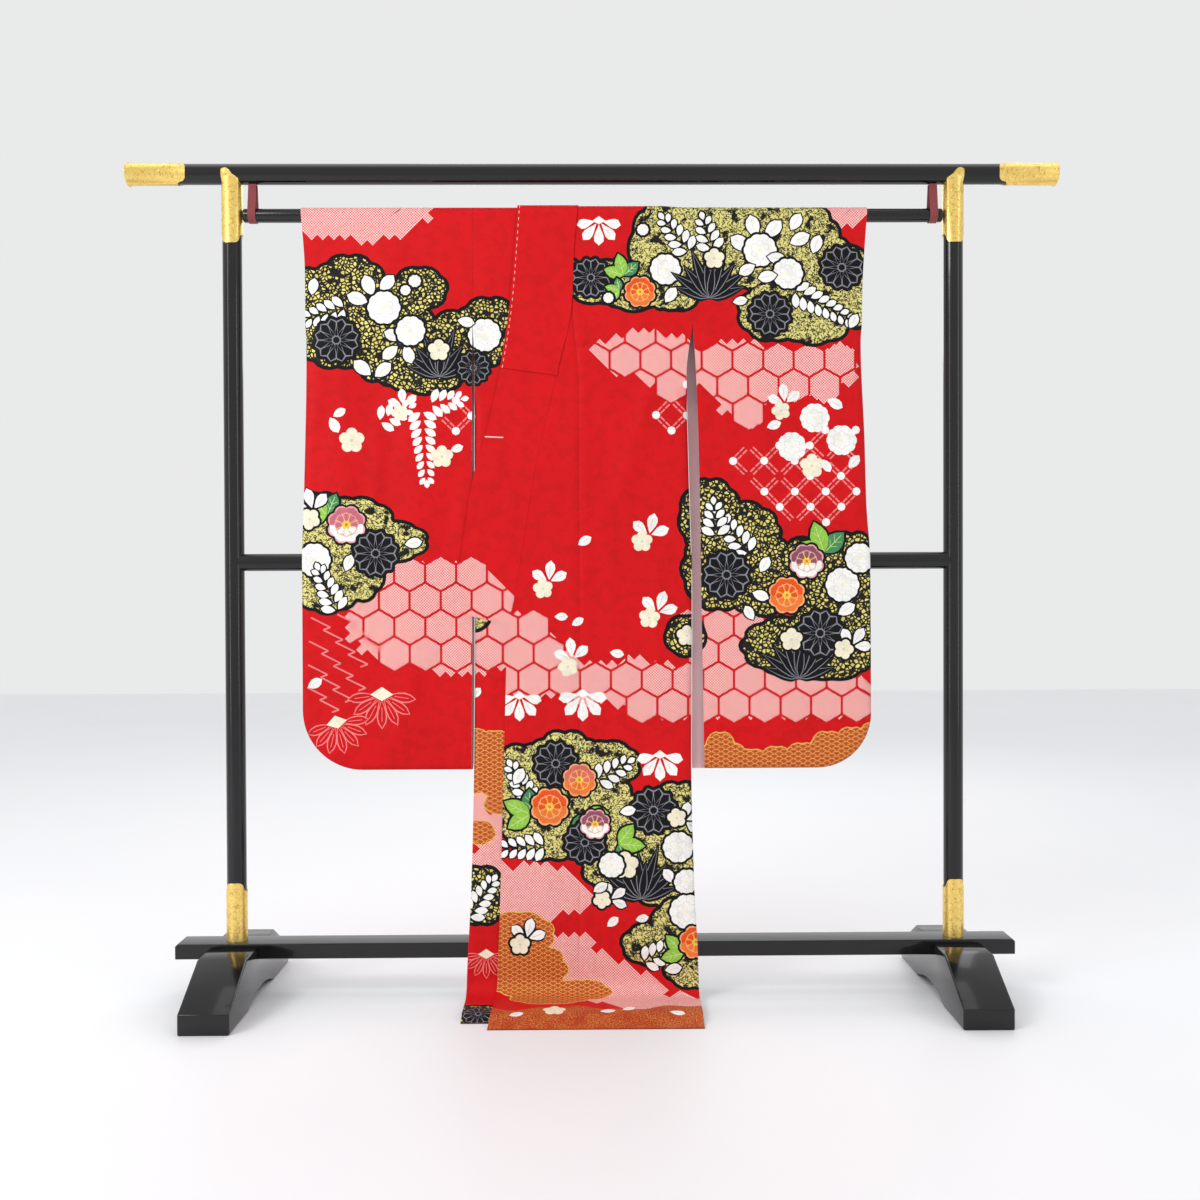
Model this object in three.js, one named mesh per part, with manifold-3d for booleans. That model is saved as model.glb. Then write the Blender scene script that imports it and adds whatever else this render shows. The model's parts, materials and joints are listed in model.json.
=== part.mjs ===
// A furisode (long-sleeved kimono) spread on a lacquered kimono rack.
// Millimetres, +Z up. The viewer stands at -Y, and +X is the viewer's right.
// The origin is on the floor, below the middle of the rack.
import * as THREE from 'three';
import { mergeVertices } from 'three/addons/utils/BufferGeometryUtils.js';
import Module from 'manifold-3d';

// ---- Driving dimensions: the rack -------------------------------------------------------------
const GAP = 0.3; // clearance between pieces that touch
const TOP_RAIL = { length: 1828, radius: 20, z: 1618 };
const POST = { x: 710, radius: 19 };
const MIDDLE_RAIL = { radius: 17, z: 856 };
const BASE_RAIL = { length: 1648, height: 30, depth: 60, top: 110, chamfer: 5 };
const FOOT = {
  width: 94, reach: 225, toeHeight: 38, flatReach: 105, flatZ: 102,
  archReach: 98, archHeight: 19, edge: 2,
};
const ROD = { length: 1376, radius: 13.5, z: 1537, rounding: 4 };
const STRAP = { x: 669, width: 15, thickness: 1.6, knotHalf: 5, shoulder: 6 };
const FITTING = { thickness: 1.1, capLength: 118, topLength: 118, footLength: 116 };
const CAP_FLANGE = { length: 5, extra: 1.6 };
const TONGUE = { length: 25, lobe: 8, angle: THREE.MathUtils.degToRad(62), corner: 0.96, valley: 0.35 };
// The plate of a post's top fitting over the rail. Across runs from -1, outside, to +1, inside.
const SADDLE = {
  inset: 2.5, sunk: 0.7, rise: 1, shoulder: 6, shoulderAt: -0.45, shoulderHalf: 0.62, shoulderEnd: 0.17,
  drop: 13, curve: 1.3,
};
const SLOT = 2; // how far the top rail's ends stay off the caps' bottoms
const EDGE_CUT = 1.5; // the base rail's long edges
const ROUND_SIDES = 36;

// ---- Driving dimensions: the cloth --------------------------------------------------------------
const WALL = 1.4; // silk with its lining
const LAYER = 2.8; // from one layer of cloth to the next
const ROD_ARC_RADIUS = ROD.radius + 0.4 + WALL / 2;
const ARC = (ROD_ARC_RADIUS * Math.PI) / 2; // cloth over a quarter of the rod
const BEND = { z: 45.9, y: -76, back: 42, front: 36 }; // where the cloth turns onto the floor
const FLOOR_Z = 1.1; // middle of a layer that lies on the floor
const SLEEVE_BOTTOM = 1109; // cloth from the shoulder fold to the sleeve's lower fold
const CUFF = 232;
const ARMHOLE = 234;
const SIDE_OPENING_END = 372;
const OKUMI_TIP = 199;
const OKUMI_POINT = 21; // the very tip of the okumi is turned under
const COLLAR_END = 815;
const COLLAR_SLANT = 12; // the collar's end drops this far on either side of its middle
const OVER_COLLAR_END = 334;
const CLOSING = 14; // width over which two layers run together at a sewn edge
const SEW_IN = 42; // length over which a seam's closing begins
const SETTLE = { from: 130, to: 185, end: 330 }; // where the left side's cloth sinks to the sleeve's depth
const FRONT_HEM_FALL = { left: { from: 150, to: 205 }, right: { from: 142, to: 170 } };
const FOLD_FADE = 60; // the soft folds die out this far above the floor
const SEAM_FADE = 150; // the side seams open out this far above the floor
const RAIL_CLEAR = 120; // the back's folds stay flat this far around the middle rail
const BACK_SHARE = -0.5; // the back's folds are half as deep, and turn inwards
const NEAR_SEAM = 4;
const SEAM_HALF = WALL / 2 + GAP / 2;
const HEM = { left: 1701, right: 1667, back: 1644 };
const RIGHT_COLLAR_WIDTH = 55; // folded lengthwise, under the left front
const PLEAT = { left: -71.5, right: 25, seam: -23, turn: 3 };
const NECK = { drop: 45, slope: 32 };
const BEHIND = { from: -237, to: -180 }; // where the right back goes behind the left back
const COLLAR_TAIL = 20; // the collar past the rod, at the back of the neck
const OVER_COLLAR_SLANT = 8;
const OVER_COLLAR_LIP = 0.5; // the over-collar stands out past the collar's fold

// Depth of the hanging cloth at a height, for the front layers and for the back layers.
const HANG = {
  front: [
    { z: 45.9, y: -40 }, { z: 110, y: -40 }, { z: 450, y: -39.5 }, { z: 856, y: -38 },
    { z: 1300, y: -22 }, { z: 1537, y: -14.6 },
  ],
  back: [
    { z: 45.9, y: -34 }, { z: 110, y: -34 }, { z: 450, y: -25 }, { z: 856, y: -21.2 },
    { z: 1300, y: 4 }, { z: 1537, y: 14.6 },
  ],
};

// Edges of the pieces: s is the cloth's length down from the shoulder fold.
const EDGE = {
  leftSide: [
    { s: 0, x: 192.5 }, { s: 234, x: 192.5 }, { s: 330, x: 180 }, { s: 525, x: 183 },
    { s: 781, x: 188 }, { s: 1091, x: 186 }, { s: 1336, x: 191 }, { s: 1523, x: 199 },
    { s: 1701, x: 196 },
  ],
  rightSide: [
    { s: 0, x: -237.2 }, { s: 234, x: -237.2 }, { s: 320, x: -234 }, { s: 828, x: -234 },
    { s: 1107, x: -237 }, { s: 1357, x: -244 }, { s: 1537, x: -253 }, { s: 1701, x: -252 },
  ],
  leftNeck: [
    { s: 0, x: -30 }, { s: 104, x: -39 }, { s: 199, x: -43 }, { s: 342, x: -74 },
    { s: 514, x: -114 }, { s: 675, x: -140 }, { s: 787, x: -160 }, { s: 832, x: -170 },
    { s: 1027, x: -177 }, { s: 1294, x: -185 }, { s: 1461, x: -191 }, { s: 1701, x: -201 },
  ],
  leftCollar: [
    { s: 0, x: -148 }, { s: 200, x: -164 }, { s: 324, x: -183 }, { s: 463, x: -214 },
    { s: 514, x: -231 }, { s: 709, x: -263 }, { s: 804, x: -276 }, { s: 834, x: -279 },
  ],
  leftOkumi: [
    { s: 0, x: -43 }, { s: 199, x: -43 }, { s: 354, x: -31 }, { s: 900, x: -31 },
    { s: 1560, x: -35 }, { s: 1701, x: -37 },
  ],
  rightNeck: [
    { s: 0, x: -26 }, { s: 199, x: -10 }, { s: 342, x: 22 }, { s: 514, x: 62 },
    { s: 675, x: 88 }, { s: 787, x: 108 }, { s: 1027, x: 120 }, { s: 1701, x: 132 },
  ],
  rightOkumi: [{ s: 0, x: -18 }, { s: 199, x: -10 }, { s: 1701, x: -14 }],
  leftCuff: [
    { s: 0, x: 538 }, { s: 200, x: 525 }, { s: 288, x: 524 }, { s: 462, x: 529 },
    { s: 588, x: 531 }, { s: 711, x: 538 }, { s: 1109, x: 539 },
  ],
  leftFuri: [
    { s: 0, x: 192.8 }, { s: 234, x: 192.8 }, { s: 320, x: 198 }, { s: 525, x: 204 },
    { s: 781, x: 207 }, { s: 1109, x: 212 },
  ],
  rightCuff: [
    { s: 0, x: -574 }, { s: 148, x: -564 }, { s: 335, x: -563 }, { s: 559, x: -566 },
    { s: 708, x: -570 }, { s: 1109, x: -570 },
  ],
  rightFuri: [
    { s: 0, x: -237.5 }, { s: 234, x: -237.5 }, { s: 320, x: -238.5 }, { s: 850, x: -239.5 },
    { s: 1109, x: -242 },
  ],
};

// Long soft folds in the top layers: a ridge from one point to another, in x and s.
const FOLDS = [
  { x0: 124, s0: 330, x1: 50, s1: 575, width: 22, depth: 4 },
  { x0: 60, s0: 1180, x1: 96, s1: 1690, width: 34, depth: 5 },
  { x0: -90, s0: 1240, x1: -112, s1: 1690, width: 30, depth: 4 },
  { x0: 300, s0: 240, x1: 372, s1: 1060, width: 46, depth: 5 },
  { x0: 470, s0: 200, x1: 452, s1: 980, width: 36, depth: 4 },
  { x0: -330, s0: 210, x1: -372, s1: 1040, width: 46, depth: 5 },
  { x0: -500, s0: 260, x1: -470, s1: 1000, width: 38, depth: 4 },
];
const BACK_FOLDS = [
  { x0: -160, s0: 300, x1: -140, s1: 1500, width: 40, depth: 4 },
  { x0: 110, s0: 260, x1: 124, s1: 1500, width: 44, depth: 4 },
  { x0: 330, s0: 240, x1: 360, s1: 1040, width: 46, depth: 4 },
  { x0: -400, s0: 240, x1: -380, s1: 1040, width: 46, depth: 4 },
];

// ---- Materials ----------------------------------------------------------------------------------
const COLOURS = {
  lacquer: { color: 0x121013, roughness: 0.18, metalness: 0 },
  gilt: { color: 0xd9b860, roughness: 0.3, metalness: 1 },
  strap: { color: 0x8e3b3c, roughness: 0.75, metalness: 0 },
  crepe: { color: 0xc21f26, roughness: 0.6, metalness: 0 },
};

const group = new THREE.Group();
const wasm = await Module();
wasm.setup();

/** Adds one named mesh with its own material. */
function add(name, geometry, finish) {
  const mesh = new THREE.Mesh(geometry, new THREE.MeshStandardMaterial(COLOURS[finish]));
  mesh.name = name;
  group.add(mesh);
}

/** Value of a column at a key, on a smooth curve through the rows of a table that never overshoots. */
function smooth(rows, key, column, at) {
  const last = rows.length - 1;
  if (at <= rows[0][key]) return rows[0][column];
  if (at >= rows[last][key]) return rows[last][column];
  let i = 0;
  while (rows[i + 1][key] < at) i += 1;
  const span = rows[i + 1][key] - rows[i][key];
  const chord = (k) => (rows[k + 1][column] - rows[k][column]) / (rows[k + 1][key] - rows[k][key]);
  const slope = (k) => {
    if (k === 0 || k === last) return chord(Math.min(k, last - 1));
    const before = chord(k - 1);
    const after = chord(k);
    return before * after <= 0 ? 0 : (2 * before * after) / (before + after);
  };
  const t = (at - rows[i][key]) / span;
  const m0 = slope(i) * span;
  const m1 = slope(i + 1) * span;
  const t2 = t * t;
  const t3 = t2 * t;
  return (2 * t3 - 3 * t2 + 1) * rows[i][column] + (t3 - 2 * t2 + t) * m0
    + (3 * t2 - 2 * t3) * rows[i + 1][column] + (t3 - t2) * m1;
}

const edge = (name) => (s) => smooth(EDGE[name], 's', 'x', s);
const ease = (a, b, at) => THREE.MathUtils.smoothstep(at, a, b);

/** Height of the soft folds above the flat cloth. */
function ridge(folds, x, s) {
  let height = 0;
  for (const fold of folds) {
    const dx = fold.x1 - fold.x0;
    const ds = fold.s1 - fold.s0;
    const reach = ((x - fold.x0) * dx + (s - fold.s0) * ds) / (dx * dx + ds * ds);
    const along = THREE.MathUtils.clamp(reach, 0, 1);
    const across = Math.hypot(x - fold.x0 - along * dx, s - fold.s0 - along * ds) / fold.width;
    height += fold.depth * Math.exp(-across * across);
  }
  return height;
}

/** Place of a point of cloth: x across, s down from the shoulder, lift outwards from the base layer. */
function drape(side, x, s, lift, fold = 0) {
  const front = side === 'front';
  const out = front ? -1 : 1;
  if (s <= ARC) {
    const turn = s / ROD_ARC_RADIUS;
    const radius = ROD_ARC_RADIUS + lift;
    return new THREE.Vector3(x, out * radius * Math.sin(turn), ROD.z + radius * Math.cos(turn));
  }
  const hanging = ROD.z - BEND.z;
  const z = ROD.z - (s - ARC);
  const outwards = lift + fold * ease(ARC, ARC + 120, s);
  if (s <= ARC + hanging) {
    return new THREE.Vector3(x, smooth(HANG[side], 'z', 'y', z) + out * outwards, z);
  }
  const reference = BEND[side];
  const radius = reference + out * lift;
  const turn = Math.min((s - ARC - hanging) / reference, Math.PI / 2);
  const floor = Math.max(s - ARC - hanging - (reference * Math.PI) / 2, 0);
  const y = BEND.y + radius * Math.cos(turn) - floor;
  return new THREE.Vector3(x, y, BEND.z - radius * Math.sin(turn));
}

/** A closed wall of cloth around a grid of middle points. */
function clothWall(grid) {
  const rows = grid.length;
  const columns = grid[0].length;
  const inside = (k, count) => THREE.MathUtils.clamp(k, 0, count - 1);
  const at = (j, i) => grid[inside(j, rows)][inside(i, columns)];
  const position = [];
  for (const side of [1, -1]) {
    for (let j = 0; j < rows; j += 1) {
      for (let i = 0; i < columns; i += 1) {
        const across = at(j, i + 1).clone().sub(at(j, i - 1));
        const down = at(j + 1, i).clone().sub(at(j - 1, i));
        const normal = across.cross(down).normalize();
        const point = grid[j][i].clone().addScaledVector(normal, (side * WALL) / 2);
        position.push(point.x, point.y, point.z);
      }
    }
  }
  const index = [];
  const id = (layer, j, i) => layer * rows * columns + j * columns + i;
  const quad = (a, b, c, d) => index.push(a, b, c, a, c, d);
  for (let j = 0; j < rows - 1; j += 1) {
    for (let i = 0; i < columns - 1; i += 1) {
      quad(id(0, j, i), id(0, j, i + 1), id(0, j + 1, i + 1), id(0, j + 1, i));
      quad(id(1, j, i), id(1, j + 1, i), id(1, j + 1, i + 1), id(1, j, i + 1));
    }
  }
  for (let i = 0; i < columns - 1; i += 1) {
    quad(id(0, 0, i), id(1, 0, i), id(1, 0, i + 1), id(0, 0, i + 1));
    quad(id(0, rows - 1, i), id(0, rows - 1, i + 1), id(1, rows - 1, i + 1), id(1, rows - 1, i));
  }
  for (let j = 0; j < rows - 1; j += 1) {
    const last = columns - 1;
    quad(id(0, j, 0), id(0, j + 1, 0), id(1, j + 1, 0), id(1, j, 0));
    quad(id(0, j, last), id(1, j, last), id(1, j + 1, last), id(0, j + 1, last));
  }
  return facingOut(position, index);
}

/** A geometry from points and triangles, turned so that its faces point out. */
function facingOut(position, index) {
  const point = (k) => new THREE.Vector3(...position.slice(3 * k, 3 * k + 3));
  let volume = 0;
  for (let t = 0; t < index.length; t += 3) {
    volume += point(index[t]).dot(point(index[t + 1]).cross(point(index[t + 2])));
  }
  const faces = volume < 0 ? index.slice().reverse() : index;
  const geometry = new THREE.BufferGeometry();
  geometry.setAttribute('position', new THREE.Float32BufferAttribute(position, 3));
  geometry.setIndex(faces);
  return geometry;
}

/** Closed solid about the Z axis. Each row gives radius and height for an angle; loop closes a ring. */
function turned(rows, loop) {
  const sides = ROUND_SIDES;
  const position = [];
  const index = [];
  for (const row of rows) {
    for (let k = 0; k < sides; k += 1) {
      const angle = (2 * Math.PI * k) / sides;
      const [radius, height] = row(angle);
      position.push(radius * Math.cos(angle), radius * Math.sin(angle), height);
    }
  }
  const steps = loop ? rows.length : rows.length - 1;
  for (let j = 0; j < steps; j += 1) {
    const next = (j + 1) % rows.length;
    for (let k = 0; k < sides; k += 1) {
      const a = j * sides + k;
      const b = j * sides + ((k + 1) % sides);
      const c = next * sides + ((k + 1) % sides);
      const d = next * sides + k;
      const pole = (r) => rows[r](0)[0] === 0;
      if (!pole(j)) index.push(a, b, c);
      if (!pole(next)) index.push(a, c, d);
    }
  }
  const geometry = facingOut(position, index);
  return mergeVertices(geometry, 1e-4);
}

/** A three.js geometry as a solid for cutting and joining. */
function solid(geometry) {
  const bare = geometry.clone();
  bare.deleteAttribute('normal');
  bare.deleteAttribute('uv');
  const merged = mergeVertices(bare, 1e-4);
  return new wasm.Manifold(new wasm.Mesh({
    numProp: 3,
    vertProperties: new Float32Array(merged.attributes.position.array),
    triVerts: new Uint32Array(merged.index.array),
  }));
}

/** A cut or joined solid as a three.js geometry. */
function geometryOf(result) {
  const mesh = result.getMesh();
  const geometry = new THREE.BufferGeometry();
  geometry.setAttribute('position', new THREE.Float32BufferAttribute(Array.from(mesh.vertProperties), 3));
  geometry.setIndex(Array.from(mesh.triVerts));
  return geometry;
}

/** A round bar along X or Z. */
function bar(radius, length, axis, centre) {
  const geometry = new THREE.CylinderGeometry(radius, radius, length, ROUND_SIDES);
  if (axis === 'x') geometry.rotateZ(Math.PI / 2);
  if (axis === 'z') geometry.rotateX(Math.PI / 2);
  return geometry.translate(...centre);
}

/** Reach of a fitting's tongue past its plain edge, for the angle from the middle of a tongue. */
function tongue(angle) {
  const half = Math.abs(Math.atan2(Math.sin(2 * angle), Math.cos(2 * angle))) / 2;
  if (half < TONGUE.angle) {
    return TONGUE.length * Math.sqrt(1 - TONGUE.corner * (half / TONGUE.angle) ** 4);
  }
  const beside = (half - TONGUE.angle) / (Math.PI / 2 - TONGUE.angle);
  return TONGUE.lobe * THREE.MathUtils.lerp(TONGUE.valley, 1, Math.sin(Math.PI * beside));
}

// ---- The rack -----------------------------------------------------------------------------------
const postTopCutter = solid(bar(TOP_RAIL.radius + GAP, TOP_RAIL.length, 'x', [0, 0, TOP_RAIL.z]));

function makeRails() {
  add('top_rail', bar(TOP_RAIL.radius, TOP_RAIL.length - 2 * SLOT, 'x', [0, 0, TOP_RAIL.z]), 'lacquer');
  const span = 2 * (POST.x - POST.radius / 2);
  const middle = solid(bar(MIDDLE_RAIL.radius, span, 'x', [0, 0, MIDDLE_RAIL.z]));
  const posts = [-1, 1].map((side) => (
    solid(bar(POST.radius + GAP, 4 * MIDDLE_RAIL.radius, 'z', [side * POST.x, 0, MIDDLE_RAIL.z]))
  ));
  add('middle_rail', geometryOf(middle.subtract(posts[0]).subtract(posts[1])), 'lacquer');
  const { length, height, depth, top, chamfer } = BASE_RAIL;
  const outline = new THREE.Shape();
  outline.moveTo(-length / 2, 0);
  outline.lineTo(length / 2, 0);
  outline.lineTo(length / 2, height - chamfer);
  outline.lineTo(length / 2 - chamfer, height);
  outline.lineTo(chamfer - length / 2, height);
  outline.lineTo(-length / 2, height - chamfer);
  const block = new THREE.ExtrudeGeometry(outline, {
    depth: depth - 2 * EDGE_CUT, bevelEnabled: true, bevelSegments: 1,
    bevelSize: EDGE_CUT, bevelOffset: -EDGE_CUT, bevelThickness: EDGE_CUT,
  });
  block.translate(0, 0, EDGE_CUT - depth / 2);
  block.rotateX(Math.PI / 2);
  block.translate(0, 0, top - height);
  add('base_rail', block, 'lacquer');
}

function makePosts() {
  const low = BASE_RAIL.top + GAP;
  const high = TOP_RAIL.z;
  for (const [side, name] of [[-1, 'right'], [1, 'left']]) {
    const shaft = solid(bar(POST.radius, high - low, 'z', [side * POST.x, 0, (high + low) / 2]));
    add(`${name}_post`, geometryOf(shaft.subtract(postTopCutter)), 'lacquer');
  }
}

function makeFeet() {
  const { width, reach, toeHeight, flatReach, flatZ, archReach, archHeight, edge: cut } = FOOT;
  const seat = BASE_RAIL.top - BASE_RAIL.height - GAP;
  const seatHalf = BASE_RAIL.depth / 2 + GAP;
  const archRadius = (archReach ** 2 + archHeight ** 2) / (2 * archHeight);
  const archAngle = Math.asin(archReach / archRadius);
  for (const [side, name] of [[-1, 'right'], [1, 'left']]) {
    const outline = new THREE.Shape();
    outline.moveTo(-reach, 0);
    outline.lineTo(-archReach, 0);
    const up = Math.PI / 2;
    outline.absarc(0, archHeight - archRadius, archRadius, up + archAngle, up - archAngle, true);
    outline.lineTo(reach, 0);
    outline.lineTo(reach, toeHeight);
    outline.lineTo(flatReach, flatZ);
    outline.lineTo(seatHalf, flatZ);
    outline.lineTo(seatHalf, seat);
    outline.lineTo(-seatHalf, seat);
    outline.lineTo(-seatHalf, flatZ);
    outline.lineTo(-flatReach, flatZ);
    outline.lineTo(-reach, toeHeight);
    const body = new THREE.ExtrudeGeometry(outline, {
      depth: width - 2 * cut, curveSegments: 10, bevelEnabled: true, bevelSegments: 1,
      bevelSize: cut, bevelOffset: -cut, bevelThickness: cut,
    });
    body.translate(0, 0, cut - width / 2);
    body.rotateX(Math.PI / 2);
    body.rotateZ(Math.PI / 2);
    body.translate(side * POST.x, 0, 0);
    add(`${name}_foot`, body, 'lacquer');
  }
}

function makeCaps() {
  const inner = TOP_RAIL.radius + GAP;
  const outer = inner + FITTING.thickness;
  const end = FITTING.thickness;
  const plain = FITTING.capLength - TONGUE.length;
  for (const [side, name] of [[-1, 'right'], [1, 'left']]) {
    const cap = turned([
      () => [0, end],
      () => [inner, end],
      (angle) => [inner, plain + tongue(angle)],
      (angle) => [outer, plain + tongue(angle)],
      () => [outer, CAP_FLANGE.length],
      () => [outer + CAP_FLANGE.extra, CAP_FLANGE.length - 1],
      () => [outer + CAP_FLANGE.extra, 1],
      () => [outer, 0],
      () => [0, 0],
    ], false);
    cap.rotateZ(Math.PI / 2);
    cap.rotateY((-side * Math.PI) / 2);
    cap.translate(side * (TOP_RAIL.length / 2), 0, TOP_RAIL.z);
    add(`${name}_rail_cap`, cap, 'gilt');
  }
}

/** Plate over the rail's front or back face, high on the outer side and sloping to the inner side. */
function saddlePlate(side, face) {
  const columns = 8;
  const rows = 4;
  const half = POST.radius - SADDLE.inset;
  const grip = POST.radius + GAP + FITTING.thickness / 2;
  const inner = TOP_RAIL.radius + GAP;
  const position = [];
  const index = [];
  const shoulderStart = 1 + SADDLE.shoulderAt;
  for (const radius of [inner - SADDLE.sunk, inner + FITTING.thickness]) {
    for (let j = 0; j <= rows; j += 1) {
      for (let i = 0; i <= columns; i += 1) {
        const across = (2 * i) / columns - 1; // -1 on the outer side, +1 on the inner side
        const x = half * across;
        const low = -Math.acos(Math.sqrt(grip ** 2 - x ** 2) / (inner + FITTING.thickness / 2));
        const beyond = across - SADDLE.shoulderAt;
        const round = Math.max(1 - (beyond / SADDLE.shoulderHalf) ** 2, 0);
        const shoulder = across < SADDLE.shoulderEnd ? SADDLE.shoulder * Math.sqrt(round) : 0;
        const slope = SADDLE.drop * (Math.max(beyond, 0) / (2 - shoulderStart)) ** SADDLE.curve;
        const high = Math.asin((SADDLE.rise + shoulder - slope) / inner);
        const angle = low + ((high - low) * j) / rows;
        const z = TOP_RAIL.z + radius * Math.sin(angle);
        position.push(side * (POST.x - x), face * radius * Math.cos(angle), z);
      }
    }
  }
  const stride = columns + 1;
  const layer = stride * (rows + 1);
  const quad = (a, b, c, d) => index.push(a, b, c, a, c, d);
  for (let j = 0; j < rows; j += 1) {
    for (let i = 0; i < columns; i += 1) {
      const a = j * stride + i;
      quad(a, a + 1, a + stride + 1, a + stride);
      quad(layer + a, layer + a + stride, layer + a + stride + 1, layer + a + 1);
    }
  }
  for (let i = 0; i < columns; i += 1) {
    const top = rows * stride + i;
    quad(i, layer + i, layer + i + 1, i + 1);
    quad(top, top + 1, layer + top + 1, layer + top);
  }
  for (let j = 0; j < rows; j += 1) {
    const a = j * stride;
    const b = a + columns;
    quad(a, a + stride, layer + a + stride, layer + a);
    quad(b, layer + b, layer + b + stride, b + stride);
  }
  return facingOut(position, index);
}

function makePostFittings() {
  const inner = POST.radius + GAP;
  const outer = inner + FITTING.thickness;
  const top = TOP_RAIL.z - TOP_RAIL.radius;
  const fromFront = (angle) => angle + Math.PI / 2;
  for (const [side, name] of [[-1, 'right'], [1, 'left']]) {
    const bottom = BASE_RAIL.top + GAP;
    const crest = (angle) => bottom + FITTING.footLength - TONGUE.length + tongue(fromFront(angle));
    const foot = turned([
      () => [inner, bottom],
      () => [outer, bottom],
      (angle) => [outer, crest(angle)],
      (angle) => [inner, crest(angle)],
    ], true);
    foot.translate(side * POST.x, 0, 0);
    add(`${name}_post_foot_fitting`, foot, 'gilt');

    const low = (angle) => top - FITTING.topLength + TONGUE.length - tongue(fromFront(angle));
    const sleeve = turned([
      (angle) => [inner, low(angle)],
      (angle) => [outer, low(angle)],
      () => [outer, TOP_RAIL.z],
      () => [inner, TOP_RAIL.z],
    ], true);
    sleeve.translate(side * POST.x, 0, 0);
    const shaft = bar(POST.radius + GAP, 4 * FITTING.topLength, 'z', [side * POST.x, 0, TOP_RAIL.z]);
    let fitting = solid(sleeve);
    for (const face of [-1, 1]) fitting = fitting.add(solid(saddlePlate(side, face)));
    const pieces = fitting.subtract(postTopCutter).subtract(solid(shaft)).decompose();
    pieces.sort((a, b) => b.volume() - a.volume());
    add(`${name}_post_top_fitting`, geometryOf(pieces[0]), 'gilt');
  }
}

function makeRodAndStraps() {
  const half = ROD.length / 2;
  const quarter = [0, 1 / 3, 2 / 3, 1].map((k) => (k * Math.PI) / 2);
  const radiusAt = (k) => ROD.radius + ROD.rounding * (Math.sin(k) - 1);
  const reachAt = (k) => half + ROD.rounding * (Math.cos(k) - 1);
  const start = quarter.map((k) => () => [radiusAt(k), -reachAt(k)]);
  const end = quarter.slice().reverse().map((k) => () => [radiusAt(k), reachAt(k)]);
  const rod = turned([() => [0, -half], ...start, ...end, () => [0, half]], false);
  rod.rotateY(Math.PI / 2);
  rod.translate(0, 0, ROD.z);
  add('hanging_rod', rod, 'lacquer');

  for (const [side, name] of [[-1, 'right'], [1, 'left']]) {
    const ring = ROD.radius + GAP;
    const apex = TOP_RAIL.z - TOP_RAIL.radius - GAP - ROD.z;
    const loop = (grow) => {
      const path = grow ? new THREE.Shape() : new THREE.Path();
      const radius = ring + grow;
      const knot = STRAP.knotHalf + grow;
      path.moveTo(knot, apex - STRAP.thickness + grow);
      path.lineTo(-knot, apex - STRAP.thickness + grow);
      path.lineTo(-radius, STRAP.shoulder);
      path.absarc(0, 0, radius, Math.PI, 2 * Math.PI, false);
      path.lineTo(radius, STRAP.shoulder);
      return path;
    };
    const band = loop(STRAP.thickness);
    band.holes.push(loop(0));
    const strap = new THREE.ExtrudeGeometry(band, {
      depth: STRAP.width, curveSegments: 8, bevelEnabled: false,
    });
    strap.rotateX(Math.PI / 2);
    strap.rotateZ(Math.PI / 2);
    strap.translate(side * STRAP.x - STRAP.width / 2, 0, ROD.z);
    add(`${name}_strap_loop`, strap, 'strap');
  }
}

// ---- The kimono ---------------------------------------------------------------------------------
const SHOULDER = 0.4; // half the clearance between front and back at the shoulder fold
const arcStations = [SHOULDER, ...[0.25, 0.5, 0.75, 1].map((k) => k * ARC)];
const bendStart = ARC + ROD.z - BEND.z;
const collarStations = [
  60, 104, 150, OKUMI_TIP, ARMHOLE, 290, OVER_COLLAR_END, SIDE_OPENING_END, 450, 514, 595, 675, 787,
];

/** Stations down a long panel, from the shoulder fold to a hem. */
function stations(hem, side, first = 0) {
  const bend = (BEND[side] * Math.PI) / 2;
  const list = [...arcStations, ...collarStations, COLLAR_END + COLLAR_SLANT];
  list.push(940, 1060, 1180, 1290, 1390, 1470, bendStart);
  for (const k of [0.25, 0.5, 0.75, 1]) list.push(bendStart + bend * k);
  const floor = hem - bendStart - bend;
  for (const k of [0.34, 0.67, 1]) list.push(bendStart + bend + floor * k);
  return list.filter((s) => s >= first);
}

/** How far the left side's cloth stands out: it settles to the sleeve's depth along the armhole seam. */
const leftLift = (x, s) => (
  LAYER * (1 - ease(SETTLE.from, SETTLE.to, x) * (1 - ease(ARMHOLE, SETTLE.end, s)))
);

/** How far a body's side seam has closed, from its opening to where it spreads above the floor. */
const sewnAt = (s) => (
  ease(SIDE_OPENING_END - SEW_IN / 3, SIDE_OPENING_END + SEW_IN, s)
  * (1 - ease(bendStart - SEAM_FADE, bendStart, s))
);

/** The back's folds at a point, flat around the middle rail. */
function backFold(x, s) {
  const fromRail = (s - ARC - ROD.z + MIDDLE_RAIL.z) / RAIL_CLEAR;
  return BACK_SHARE * ridge(BACK_FOLDS, x, s) * (1 - Math.exp(-(fromRail ** 2)));
}

/** How much of a soft fold is left above the floor. */
const hanging = (s) => 1 - ease(bendStart - FOLD_FADE, bendStart, s);

/** Brings a layer to the middle between front and back at a sewn side edge. */
function closed(point, side, distance) {
  const near = THREE.MathUtils.clamp(distance / CLOSING, 0, 1);
  const open = Math.sqrt(1 - (1 - near) ** 2);
  const front = smooth(HANG.front, 'z', 'y', point.z);
  const back = smooth(HANG.back, 'z', 'y', point.z);
  const seam = (front + back) / 2 + (side === 'front' ? -SEAM_HALF : SEAM_HALF);
  return point.setY(THREE.MathUtils.lerp(seam, point.y, open));
}

/** Lets a front hem down from the stack of layers to the floor. */
function settled(point, layerZ, fall) {
  const down = ease(fall.from, fall.to, -point.y) * (layerZ - FLOOR_Z);
  return point.setZ(point.z - down);
}

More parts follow.
